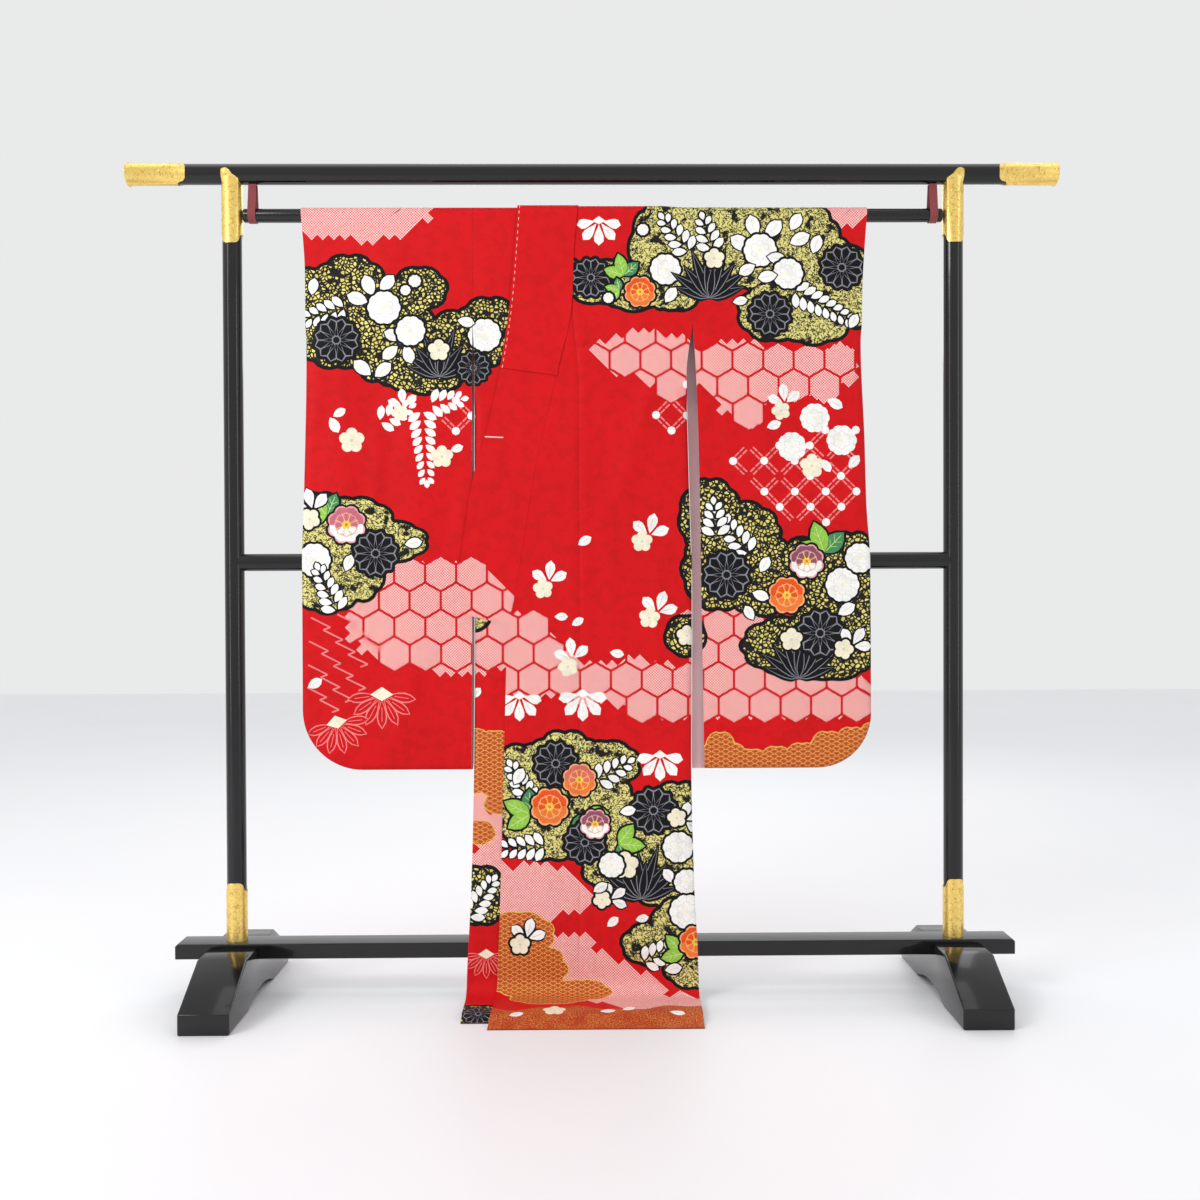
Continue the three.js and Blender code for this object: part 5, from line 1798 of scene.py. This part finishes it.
class Bench:
    """Puts one material's nodes together."""

    def __init__(self, name: str) -> None:
        """Starts a material.

        Args:
            name: Its name.
        """
        self.material = bpy.data.materials.new(name)
        self.material.use_nodes = True
        self.nodes = self.material.node_tree.nodes
        self.links = self.material.node_tree.links
        self.shader = next(n for n in self.nodes if n.type == "BSDF_PRINCIPLED")

    def give(self, socket: Socket, value: Value) -> None:
        """Links or sets a socket.

        Args:
            socket: The socket.
            value: A socket to link, or a plain value.
        """
        if isinstance(value, Socket):
            self.links.new(value, socket)
        elif isinstance(value, (int, float)) or len(value) != 3 or socket.type == "VECTOR":
            socket.default_value = value
        else:
            socket.default_value = (*value, 1.0)

    def set(self, **values: Value) -> None:
        """Sets the shader's own inputs."""
        for name, value in values.items():
            self.give(self.shader.inputs[name.replace("_", " ")], value)

    def math(self, operation: str, a: Value, b: Value = 0.0, c: Value = 0.0) -> Socket:
        """Adds a calculation.

        Args:
            operation: Which one.
            a: First value.
            b: Second value.
            c: Third value.

        Returns:
            Its result.
        """
        node = self.nodes.new("ShaderNodeMath")
        node.operation = operation
        for socket, value in zip(node.inputs, (a, b, c)):
            self.give(socket, value)
        return node.outputs[0]

    def times(self, a: Value, b: Value) -> Socket:
        """Multiplies two values."""
        return self.math("MULTIPLY", a, b)

    def plus(self, a: Value, b: Value) -> Socket:
        """Adds two values."""
        return self.math("ADD", a, b)

    def minus(self, a: Value, b: Value) -> Socket:
        """Takes the second value from the first."""
        return self.math("SUBTRACT", a, b)

    def length(self, a: Value, b: Value) -> Socket:
        """Measures the length over two legs."""
        return self.math("SQRT", self.plus(self.math("POWER", a, 2.0), self.math("POWER", b, 2.0)))

    def step(self, value: Value, start: float, end: float) -> Socket:
        """Adds a soft step from 0 to 1.

        Args:
            value: What is read.
            start: Where it is 0.
            end: Where it is 1.

        Returns:
            The step.
        """
        node = self.nodes.new("ShaderNodeMapRange")
        node.interpolation_type = "SMOOTHSTEP"
        for name, number in (("Value", value), ("From Min", start), ("From Max", end)):
            self.give(node.inputs[name], number)
        return node.outputs["Result"]

    def mix(self, share: Value, a: Value, b: Value) -> Socket:
        """Adds a mix of two colours.

        Args:
            share: How much of the second.
            a: First colour.
            b: Second colour.

        Returns:
            The mixed colour.
        """
        node = self.nodes.new("ShaderNodeMix")
        node.data_type = "RGBA"
        self.give(node.inputs[0], share)
        self.give(node.inputs[6], a)
        self.give(node.inputs[7], b)
        return node.outputs[2]

    def object_coords(self) -> Socket:
        """Reads the object's own coordinates."""
        return self.nodes.new("ShaderNodeTexCoord").outputs["Object"]

    def cloth_coords(self) -> tuple[Socket, Socket, Socket]:
        """Reads the flat cloth's coordinates.

        Returns:
            The vector, and x and s in metres.
        """
        chart = self.nodes.new("ShaderNodeUVMap")
        chart.uv_map = "cloth"
        parts = self.nodes.new("ShaderNodeSeparateXYZ")
        self.links.new(chart.outputs[0], parts.inputs[0])
        return chart.outputs[0], parts.outputs[0], self.math("MULTIPLY", parts.outputs[1], -1.0)

    def noise(self, coords: Value, scale: float, detail: float = 2.0, rough: float = 0.5) -> Socket:
        """Adds noise.

        Args:
            coords: Where it is read.
            scale: Its fineness, per metre.
            detail: Its layers.
            rough: How strong the fine layers are.

        Returns:
            The noise, about 0 to 1.
        """
        node = self.nodes.new("ShaderNodeTexNoise")
        self.give(node.inputs["Vector"], coords)
        for name, number in (("Scale", scale), ("Detail", detail), ("Roughness", rough)):
            node.inputs[name].default_value = number
        return node.outputs["Fac"]

    def cells(self, coords: Value, scale: float, feature: str = "DISTANCE_TO_EDGE") -> bpy.types.Node:
        """Adds a pattern of cells.

        Args:
            coords: Where it is read.
            scale: Its fineness, per metre.
            feature: What is measured.

        Returns:
            The node.
        """
        node = self.nodes.new("ShaderNodeTexVoronoi")
        node.feature = feature
        self.give(node.inputs["Vector"], coords)
        node.inputs["Scale"].default_value = scale
        return node

    def bump(self, height: Value, strength: float, depth: float) -> None:
        """Adds relief.

        Args:
            height: The height, about 0 to 1.
            strength: How much of it shows.
            depth: Its depth in metres.
        """
        node = self.nodes.new("ShaderNodeBump")
        self.give(node.inputs["Height"], height)
        node.inputs["Strength"].default_value = strength
        node.inputs["Distance"].default_value = depth
        self.links.new(node.outputs[0], self.shader.inputs["Normal"])


class CrepeFinish(Bench):
    """Crinkled silk crepe, with the dye or foil that it carries."""

    CRINKLE = 1100.0

    def __init__(self, kind: Cloth) -> None:
        """Lays out the flat cloth's coordinates and the crepe's grain.

        Args:
            kind: The slot that it is for.
        """
        super().__init__(f"crepe_{kind.name.lower()}")
        self.kind = kind
        self.coords, self.x, self.s = self.cloth_coords()
        self.grain = self.plus(self.noise(self.coords, self.CRINKLE, 3.0, 0.6),
                               self.times(self.noise(self.coords, self.CRINKLE / 3.2, 2.0), 0.8))

    def build(self) -> bpy.types.Material:
        """Builds the material.

        Returns:
            The material.
        """
        self.set(Roughness=0.58, Sheen_Weight=0.04, Sheen_Roughness=0.4, Specular_IOR_Level=0.16)
        ways = {Cloth.CREPE: self.plain, Cloth.SCALES: self.scales, Cloth.FLAKES: self.flakes,
                Cloth.DUST: self.dust, Cloth.KANOKO: self.kanoko, Cloth.WAVES: self.waves,
                Cloth.LINING: self.lining}
        colour, height = ways[self.kind]()
        self.set(Base_Color=colour)
        self.bump(height, 0.34, 0.0005)
        return self.material

    def lining(self) -> tuple[Socket, Socket]:
        """Builds the pale lining, its colour tinted pink-mauve as painted shade with red light bounced from
        the cloth.

        Returns:
            The colour and the height.
        """
        soft = self.noise(self.coords, 9.0, 2.0)
        self.set(Roughness=0.5)
        # The two pink-mauve tones are the pale lining with painted shade and painted red bounce light in it.
        return self.mix(soft, linear(206, 166, 172), linear(224, 190, 192)), self.times(self.grain, 0.3)

    def plain(self) -> tuple[Socket, Socket]:
        """Builds the dyed ground, with its faint woven figure.

        Returns:
            The colour and the height.
        """
        tone = self.nodes.new("ShaderNodeVertexColor")
        tone.layer_name = "dye"
        figure = self.step(self.noise(self.coords, 42.0, 3.0, 0.55), 0.50, 0.56)
        cloudy = self.noise(self.coords, 6.0, 2.0)
        shade = self.minus(1.0, self.plus(self.times(figure, 0.075), self.times(cloudy, 0.16)))
        node = self.nodes.new("ShaderNodeVectorMath")
        node.operation = "SCALE"
        self.give(node.inputs[0], tone.outputs["Color"])
        self.give(node.inputs["Scale"], shade)
        return node.outputs[0], self.grain

    def scales(self) -> tuple[Socket, Socket]:
        """Builds broken squares of gold leaf on black.

        Returns:
            The colour and the height.
        """
        edge = self.cells(self.coords, 138.0).outputs["Distance"]
        pick = self.cells(self.coords, 138.0, "F1").outputs["Color"]
        parts = self.nodes.new("ShaderNodeSeparateColor")
        self.give(parts.inputs[0], pick)
        shown = self.times(self.step(edge, 0.13, 0.2), self.step(parts.outputs[0], 0.05, 0.06))
        gold = self.mix(parts.outputs[1], linear(240, 228, 132), linear(206, 190, 92))
        return self.leaf(shown, linear(26, 25, 26), gold)

    def flakes(self) -> tuple[Socket, Socket]:
        """Builds marbled gold leaf on black.

        Returns:
            The colour and the height.
        """
        vein = self.noise(self.coords, 118.0, 3.0, 0.62)
        away = self.math("ABSOLUTE", self.minus(vein, 0.5))
        blot = self.step(self.noise(self.coords, 34.0, 4.0, 0.6), 0.40, 0.45)
        lines = self.times(self.step(away, 0.026, 0.05), blot)
        gold = self.mix(self.noise(self.coords, 420.0, 2.0), linear(190, 176, 78), linear(255, 248, 168))
        return self.leaf(lines, linear(24, 23, 22), gold)

    def leaf(self, shown: Socket, black: Colour, gold: Socket) -> tuple[Socket, Socket]:
        """Lays gold leaf where it shows on black."""
        self.set(Metallic=self.times(shown, 0.35), Roughness=0.5)
        return self.mix(shown, black, gold), self.plus(self.times(self.grain, 0.5), shown)

    def dust(self) -> tuple[Socket, Socket]:
        """Builds red ground under gold dust.

        Returns:
            The colour and the height.
        """
        speck = self.step(self.noise(self.coords, 330.0, 3.0, 0.7), 0.47, 0.55)
        thick = self.step(self.noise(self.coords, 26.0, 2.0), 0.30, 0.62)
        self.set(Metallic=self.times(speck, 0.25))
        shown = self.times(speck, self.math("MULTIPLY_ADD", thick, 0.5, 0.35))
        return self.mix(shown, linear(176, 34, 22), linear(214, 150, 72)), self.grain

    def kanoko(self) -> tuple[Socket, Socket]:
        """Builds tied dots, each with a small red eye.

        Returns:
            The colour and the height.
        """
        scale = 1 / (2 * CELL * MM)
        away = []
        for slanting in (self.plus(self.s, self.x), self.minus(self.s, self.x)):
            middle = self.minus(self.math("FRACT", self.times(slanting, scale)), 0.5)
            away.append(self.math("ABSOLUTE", middle))
        square = self.math("MAXIMUM", *away)
        shape = self.math("MULTIPLY_ADD", self.length(*away), 0.35, self.times(square, 0.65))
        dot = self.step(shape, 0.43, 0.36)
        eye = self.step(shape, 0.10, 0.05)
        pale = self.mix(self.noise(self.coords, 130.0, 2.0), linear(250, 182, 178), linear(255, 240, 234))
        shown = self.times(dot, self.minus(1.0, self.times(eye, 0.8)))
        height = self.plus(self.times(self.grain, 0.3), self.times(dot, 1.4))
        return self.mix(shown, linear(206, 26, 32), pale), height

    def waves(self) -> tuple[Socket, Socket]:
        """Builds overlapping rows of gold arcs on orange.

        Returns:
            The colour and the height.
        """
        radius = 9.4 * MM
        found, over = None, None
        base = self.math("FLOOR", self.math("DIVIDE", self.s, radius / 2))
        for k in (1, 2, 3):
            index = self.plus(base, float(3 - k))
            parity = self.times(self.math("PINGPONG", index, 1.0), radius)
            across = self.math("PINGPONG", self.minus(self.x, parity), radius)
            down = self.minus(self.s, self.times(self.plus(index, 1.0), radius / 2))
            share = self.math("DIVIDE", self.length(across, down), radius)
            inside = self.math("LESS_THAN", share, 1.0)
            if found is None:
                found, over = share, inside
            else:
                fresh = self.minus(1.0, over)
                found = self.plus(self.times(found, over), self.times(share, fresh))
                over = self.math("MAXIMUM", over, inside)
        ring = self.math("PINGPONG", self.times(found, 3.0), 0.5)
        outer = self.step(found, 0.86, 0.93)
        arc = self.math("MAXIMUM", self.times(self.step(ring, 0.16, 0.08), 0.42), outer)
        self.set(Metallic=self.times(arc, 0.3), Roughness=0.5)
        height = self.plus(self.times(self.grain, 0.5), self.times(arc, 0.6))
        return self.mix(arc, linear(178, 50, 20), linear(244, 194, 100)), height


@dataclass(frozen=True)
class Lacquer:
    """Polished black lacquer."""

    colour: Colour = linear(6, 6, 8)
    roughness: float = 0.11

    def build(self) -> bpy.types.Material:
        """Builds the material.

        Returns:
            The material.
        """
        bench = Bench("lacquer")
        coords = bench.object_coords()
        depth = bench.noise(coords, 7.0, 3.0)
        bench.set(Base_Color=bench.mix(depth, self.colour, linear(16, 15, 17)),
                  Roughness=bench.math("MULTIPLY_ADD", bench.noise(coords, 38.0, 3.0), 0.08, self.roughness),
                  Coat_Weight=0.25, Coat_Roughness=0.04, Specular_IOR_Level=0.34)
        bench.bump(bench.noise(coords, 24.0, 2.0), 0.05, 0.0006)
        return bench.material


@dataclass(frozen=True)
class Gilt:
    """Thin gilt metal with fine engraving."""

    colour: Colour = linear(255, 226, 136)

    def build(self) -> bpy.types.Material:
        """Builds the material.

        Returns:
            The material.
        """
        bench = Bench("gilt")
        coords = bench.object_coords()
        worn = bench.noise(coords, 60.0, 3.0)
        scroll = bench.noise(coords, 95.0, 1.0)
        line = bench.step(bench.math("ABSOLUTE", bench.minus(scroll, 0.5)), 0.03, 0.012)
        colour = bench.mix(worn, self.colour, linear(236, 196, 100))
        bench.set(Base_Color=bench.mix(bench.times(line, 0.45), colour, linear(150, 108, 44)),
                  Metallic=0.85, Roughness=bench.math("MULTIPLY_ADD", worn, 0.14, 0.24))
        bench.bump(bench.minus(bench.times(worn, 0.2), line), 0.3, 0.0004)
        return bench.material


@dataclass(frozen=True)
class Braid:
    """Dark red woven strap."""

    colour: Colour = linear(140, 52, 56)

    def build(self) -> bpy.types.Material:
        """Builds the material.

        Returns:
            The material.
        """
        bench = Bench("braid")
        coords = bench.object_coords()
        wave = bench.nodes.new("ShaderNodeTexWave")
        wave.bands_direction = "DIAGONAL"
        bench.give(wave.inputs["Vector"], coords)
        wave.inputs["Scale"].default_value = 260.0
        wave.inputs["Distortion"].default_value = 1.2
        soft = bench.noise(coords, 300.0, 2.0)
        colour = bench.mix(wave.outputs["Fac"], linear(104, 34, 40), self.colour)
        bench.set(Base_Color=bench.mix(bench.times(soft, 0.3), colour, linear(170, 84, 84)),
                  Roughness=0.8, Sheen_Weight=0.3)
        bench.bump(wave.outputs["Fac"], 0.5, 0.0005)
        return bench.material


@dataclass(frozen=True)
class Thread:
    """Pale twisted thread."""

    def build(self) -> bpy.types.Material:
        """Builds the material.

        Returns:
            The material.
        """
        bench = Bench("thread")
        coords = bench.object_coords()
        twist = bench.noise(coords, 1400.0, 1.0)
        bench.set(Base_Color=bench.mix(twist, linear(238, 214, 190), linear(250, 240, 226)), Roughness=0.75)
        bench.bump(twist, 0.4, 0.0002)
        return bench.material


@dataclass(frozen=True)
class FloorFinish:
    """Plain pale floor with a slight sheen."""

    colour: Colour = linear(244, 244, 246)

    def build(self) -> bpy.types.Material:
        """Builds the material.

        Returns:
            The material.
        """
        bench = Bench("floor")
        coords = bench.object_coords()
        tone = bench.noise(coords, 1.6, 2.0)
        bench.set(Base_Color=bench.mix(tone, self.colour, linear(239, 240, 243)),
                  Roughness=bench.math("MULTIPLY_ADD", tone, 0.1, 0.42))
        return bench.material


# ---- Rows of small things by nodes ----------------------------------------------------------------
class NodeRow:
    """A node tree that sets small solids on points or along a path."""

    def __init__(self, name: str, along_path: bool) -> None:
        """Builds the tree.

        Args:
            name: The tree's name.
            along_path: Whether the solids follow a path, or stand on points that have a facing.
        """
        self.tree = bpy.data.node_groups.new(name, "GeometryNodeTree")
        face = self.tree.interface
        face.new_socket("Geometry", in_out="INPUT", socket_type="NodeSocketGeometry")
        self.ids = {}
        for label, kind in (("Spacing", "Float"), ("Size", "Vector"), ("Finish", "Material")):
            socket = face.new_socket(label, in_out="INPUT", socket_type=f"NodeSocket{kind}")
            self.ids[label] = socket.identifier
        face.new_socket("Geometry", in_out="OUTPUT", socket_type="NodeSocketGeometry")
        nodes, links = self.tree.nodes, self.tree.links
        source, sink = nodes.new("NodeGroupInput"), nodes.new("NodeGroupOutput")
        bead, smooth = nodes.new("GeometryNodeMeshUVSphere"), nodes.new("GeometryNodeSetShadeSmooth")
        for label, value in (("Segments", 12), ("Rings", 8), ("Radius", 1.0)):
            bead.inputs[label].default_value = value
        align = nodes.new("FunctionNodeAlignRotationToVector")
        align.axis = "Z"
        spread, real = nodes.new("GeometryNodeInstanceOnPoints"), nodes.new("GeometryNodeRealizeInstances")
        paint = nodes.new("GeometryNodeSetMaterial")
        wires = [
            (bead, "Mesh", smooth, "Geometry"), (smooth, "Geometry", spread, "Instance"),
            (align, "Rotation", spread, "Rotation"), (source, "Size", spread, "Scale"),
            (spread, "Instances", real, "Geometry"), (real, "Geometry", paint, "Geometry"),
            (source, "Finish", paint, "Material"), (paint, "Geometry", sink, "Geometry"),
        ]
        if along_path:
            curve, even = nodes.new("GeometryNodeMeshToCurve"), nodes.new("GeometryNodeResampleCurve")
            even.mode = "LENGTH"
            tangent = nodes.new("GeometryNodeInputTangent")
            wires += [
                (source, "Geometry", curve, "Mesh"), (curve, "Curve", even, "Curve"),
                (source, "Spacing", even, "Length"), (tangent, "Tangent", align, "Vector"),
                (even, "Curve", spread, "Points"),
            ]
        else:
            facing = nodes.new("GeometryNodeInputNamedAttribute")
            facing.data_type = "FLOAT_VECTOR"
            facing.inputs["Name"].default_value = "facing"
            wires += [(facing, "Attribute", align, "Vector"), (source, "Geometry", spread, "Points")]
        for giver, out, taker, into in wires:
            links.new(giver.outputs[out], taker.inputs[into])

    def apply(self, guide: bpy.types.Object, spacing: float, size: tuple[float, float, float],
              finish: bpy.types.Material) -> bpy.types.Object:
        """Runs the tree on a guide and keeps the result as plain mesh.

        Args:
            guide: The object with the points or the path.
            spacing: Distance along a path, in metres.
            size: Half sizes of each solid, in metres.
            finish: Its material.

        Returns:
            The made object.
        """
        step = guide.modifiers.new("row", "NODES")
        step.node_group = self.tree
        step[self.ids["Spacing"]] = spacing
        step[self.ids["Size"]] = size
        step[self.ids["Finish"]] = finish
        made = bpy.data.meshes.new_from_object(guide.evaluated_get(bpy.context.evaluated_depsgraph_get()))
        name, path = guide.name, guide.data
        bpy.data.objects.remove(guide, do_unlink=True)
        bpy.data.meshes.remove(path)
        made.name = name
        piece = add_object(name, made)
        if not made.materials:
            made.materials.append(finish)
        return piece


def guide_mesh(name: str, points: Array, facing: Array | None = None) -> bpy.types.Object:
    """Makes the guide for a row.

    Args:
        name: The name of what is made from it.
        points: Its points in metres, joined in order if nothing faces out.
        facing: The outward direction at each point.

    Returns:
        The guide.
    """
    mesh = bpy.data.meshes.new(name)
    joins = [] if facing is not None else [(k, k + 1) for k in range(len(points) - 1)]
    mesh.from_pydata([tuple(p) for p in points], joins, [])
    if facing is not None:
        layer = mesh.attributes.new("facing", "FLOAT_VECTOR", "POINT")
        layer.data.foreach_set("vector", np.asarray(facing, np.float32).ravel())
    guide = add_object(name, mesh)
    return guide


@dataclass(frozen=True)
class Basting:
    """The running stitches along the over-collar's fold."""

    inset: float = 4.0
    first: float = 12.0
    last: float = 328.0
    spacing: float = 13.0
    length: float = 7.0
    thickness: float = 1.1

    def make(self, finish: bpy.types.Material) -> bpy.types.Object:
        """Makes the stitches.

        Args:
            finish: The thread.

        Returns:
            The stitches.
        """
        s = np.arange(self.first, self.last, 4.0)
        x = LEFT_COLLAR(s) + self.inset
        lift = LAYER + WALL + GAP + WALL / 2 + 0.1
        points = CollarHang(lift, True).hang(x, s) * MM
        guide = guide_mesh("basting_stitches", points)
        size = tuple(v / 2 * MM for v in (self.thickness, self.thickness, self.length))
        return NodeRow("stitch row", True).apply(guide, self.spacing * MM, size, finish)


# ---- The rack -------------------------------------------------------------------------------------
@dataclass(frozen=True)
class RackPart:
    """One piece of the rack, finished from its plain form."""

    name: str
    slot: str
    soften: float = 0.0
    sharp: float = 33.0

    def make(self, finish: bpy.types.Material) -> bpy.types.Object:
        """Makes the piece.

        Args:
            finish: Its material.

        Returns:
            The piece.
        """
        node = frame["nodes"][self.name]
        shape = bmesh.new()
        shape.from_mesh(node.data)
        shape.transform(node.matrix_world)
        bmesh.ops.remove_doubles(shape, verts=shape.verts, dist=1e-5)
        flat = [e for e in shape.edges if e.is_manifold and e.calc_face_angle() < math.radians(0.5)]
        bmesh.ops.dissolve_edges(shape, edges=flat, use_verts=False)
        if self.soften:
            edges = [e for e in shape.edges if e.is_manifold and e.calc_face_angle() > math.radians(38)]
            bmesh.ops.bevel(shape, geom=edges, offset=self.soften, segments=2, profile=0.6,
                            affect="EDGES", clamp_overlap=True)
        mesh = bpy.data.meshes.new(f"{self.name}_finished")
        shape.to_mesh(mesh)
        shape.free()
        mesh.shade_smooth()
        mesh.set_sharp_from_angle(angle=math.radians(self.sharp))
        mesh.materials.append(finish)
        piece = add_object(f"{self.name}_finished", mesh)
        settle(piece, (self.name,))
        return piece


class Rack:
    """The lacquered rack with its fittings."""

    LACQUERED = {
        "top_rail": 0.0, "middle_rail": 0.0, "hanging_rod": 0.0, "left_post": 0.0, "right_post": 0.0,
        "base_rail": 0.0012, "left_foot": 0.0015, "right_foot": 0.0015,
    }
    GILT = ("left_rail_cap", "right_rail_cap", "left_post_top_fitting", "right_post_top_fitting",
            "left_post_foot_fitting", "right_post_foot_fitting")
    STRAPS = ("left_strap_loop", "right_strap_loop")
    NAILS = (  # fitting, then x and z of the nails in millimetres
        ("right_rail_cap", ((-806, 1630), (-806, 1606), (-846, 1618), (-900, 1630), (-900, 1606))),
        ("left_rail_cap", ((806, 1630), (806, 1606), (846, 1618), (900, 1630), (900, 1606))),
        ("right_post_top_fitting", ((-718, 1580), (-702, 1580), (-710, 1545), (-718, 1512), (-702, 1512))),
        ("left_post_top_fitting", ((718, 1580), (702, 1580), (710, 1545), (718, 1512), (702, 1512))),
        ("right_post_foot_fitting", ((-718, 206), (-702, 206), (-710, 172), (-718, 130), (-702, 130))),
        ("left_post_foot_fitting", ((718, 206), (702, 206), (710, 172), (718, 130), (702, 130))),
    )

    def make(self) -> dict[str, bpy.types.Object]:
        """Makes the rack.

        Returns:
            Its pieces by the names of the frame's nodes.
        """
        lacquer, gilt, braid = Lacquer().build(), Gilt().build(), Braid().build()
        made = {name: RackPart(name, "lacquer", soft).make(lacquer) for name, soft in self.LACQUERED.items()}
        made |= {name: RackPart(name, "gilt").make(gilt) for name in self.GILT}
        made |= {name: RackPart(name, "strap").make(braid) for name in self.STRAPS}
        settle(self.make_nails(made, gilt), ())
        return made

    def make_nails(self, made: dict[str, bpy.types.Object], finish: bpy.types.Material) -> bpy.types.Object:
        """Makes the small round nails, on both faces of each fitting.

        Args:
            made: The rack's pieces.
            finish: The nails' material.

        Returns:
            The nails.
        """
        points, facing = [], []
        for name, places in self.NAILS:
            mesh = made[name].data
            tree = BVHTree.FromPolygons([v.co for v in mesh.vertices], [p.vertices for p in mesh.polygons])
            for x, z in places:
                for way in (-1.0, 1.0):
                    outside = Vector((x * MM, 0.3 * way, z * MM))
                    hit, normal, _, _ = tree.ray_cast(outside, Vector((0, -way, 0)))
                    if hit is not None and abs(hit.y) > 0.005:
                        points.append(hit)
                        facing.append(normal)
        guide = guide_mesh("fitting_nails", np.array(points), np.array(facing))
        return NodeRow("nail row", False).apply(guide, 0.01, (0.0021, 0.0021, 0.0011), finish)


# ---- Floor, light and camera ----------------------------------------------------------------------
@dataclass(frozen=True)
class Studio:
    """The plain pale surroundings."""

    lens: float = 37.5
    place: tuple[float, float, float] = (-0.0152, -2.4717, 0.8087)
    yaw: float = -0.0101
    pitch: float = 0.0118
    roll: float = 0.0037

    def set_camera(self) -> None:
        """Sets the camera."""
        data = bpy.data.cameras.new("camera")
        data.lens, data.sensor_width = self.lens, 36.0
        data.clip_end = 60.0
        camera = add_object("camera", data)
        turn = (Matrix.Rotation(self.yaw, 4, "Z") @ Matrix.Rotation(-self.pitch, 4, "X")
                @ Matrix.Rotation(self.roll, 4, "Y") @ Matrix.Rotation(math.pi / 2, 4, "X"))
        camera.matrix_world = Matrix.Translation(self.place) @ turn
        bpy.context.scene.camera = camera

    def set_floor(self) -> None:
        """Sets the floor."""
        mesh = bpy.data.meshes.new("floor")
        reach = 7.0
        corners = [(-reach, -reach, 0), (reach, -reach, 0), (reach, reach, 0), (-reach, reach, 0)]
        mesh.from_pydata(corners, [], [(0, 1, 2, 3)])
        mesh.materials.append(FloorFinish().build())
        add_object("floor", mesh)

    def set_light(self) -> None:
        """Sets the world and the soft lights."""
        world = bpy.data.worlds.new("room")
        world.use_nodes = True
        sky = world.node_tree.nodes["Background"]
        sky.inputs[0].default_value = (0.93, 0.933, 0.94, 1.0)
        sky.inputs[1].default_value = 0.88
        bpy.context.scene.world = world
        bpy.context.scene.view_settings.view_transform = "Standard"
        self.add_area("key", (-2.7, -2.3, 2.9), (0.1, 0, 0.95), 1.4, 50)
        self.add_area("behind", (0.6, 2.8, 2.6), (0, 0, 0.9), 2.6, 20)
        self.add_area("above", (0, 0.2, 3.6), (0, 0, 0), 3.0, 16)
        self.add_area("strip", (-3.3, -2.9, 1.3), (0, 0, 0.9), 0.34, 14, 2.4)
        self.add_area("far strip", (3.4, -2.7, 1.3), (0, 0, 0.9), 0.26, 10, 2.4)

    @staticmethod
    def add_area(name: str, place: Sequence[float], aim: Sequence[float], size: float, power: float,
                 height: float | None = None) -> None:
        """Adds a soft light.

        Args:
            name: Its name.
            place: Where it stands.
            aim: Where it points.
            size: Its width in metres.
            power: Its power in watts.
            height: Its height in metres, 0.7 of the width if not given.
        """
        data = bpy.data.lights.new(name, "AREA")
        data.shape, data.size, data.size_y, data.energy = "RECTANGLE", size, height or size * 0.7, power
        light = add_object(name, data)
        light.location = place
        light.rotation_euler = (Vector(aim) - Vector(place)).to_track_quat("-Z", "Y").to_euler()


def main() -> None:
    """Makes the whole scene."""
    logging.basicConfig(level=logging.INFO, format="%(message)s")
    finishes = [CrepeFinish(kind).build() for kind in Cloth]
    studio = Studio()
    studio.set_camera()
    studio.set_floor()
    studio.set_light()
    cloth = Kimono(Tailor(finishes), Print()).make()
    rack = Rack().make()
    basting = Basting().make(Thread().build())
    settle(basting, ())


if __name__ == "__main__":
    main()
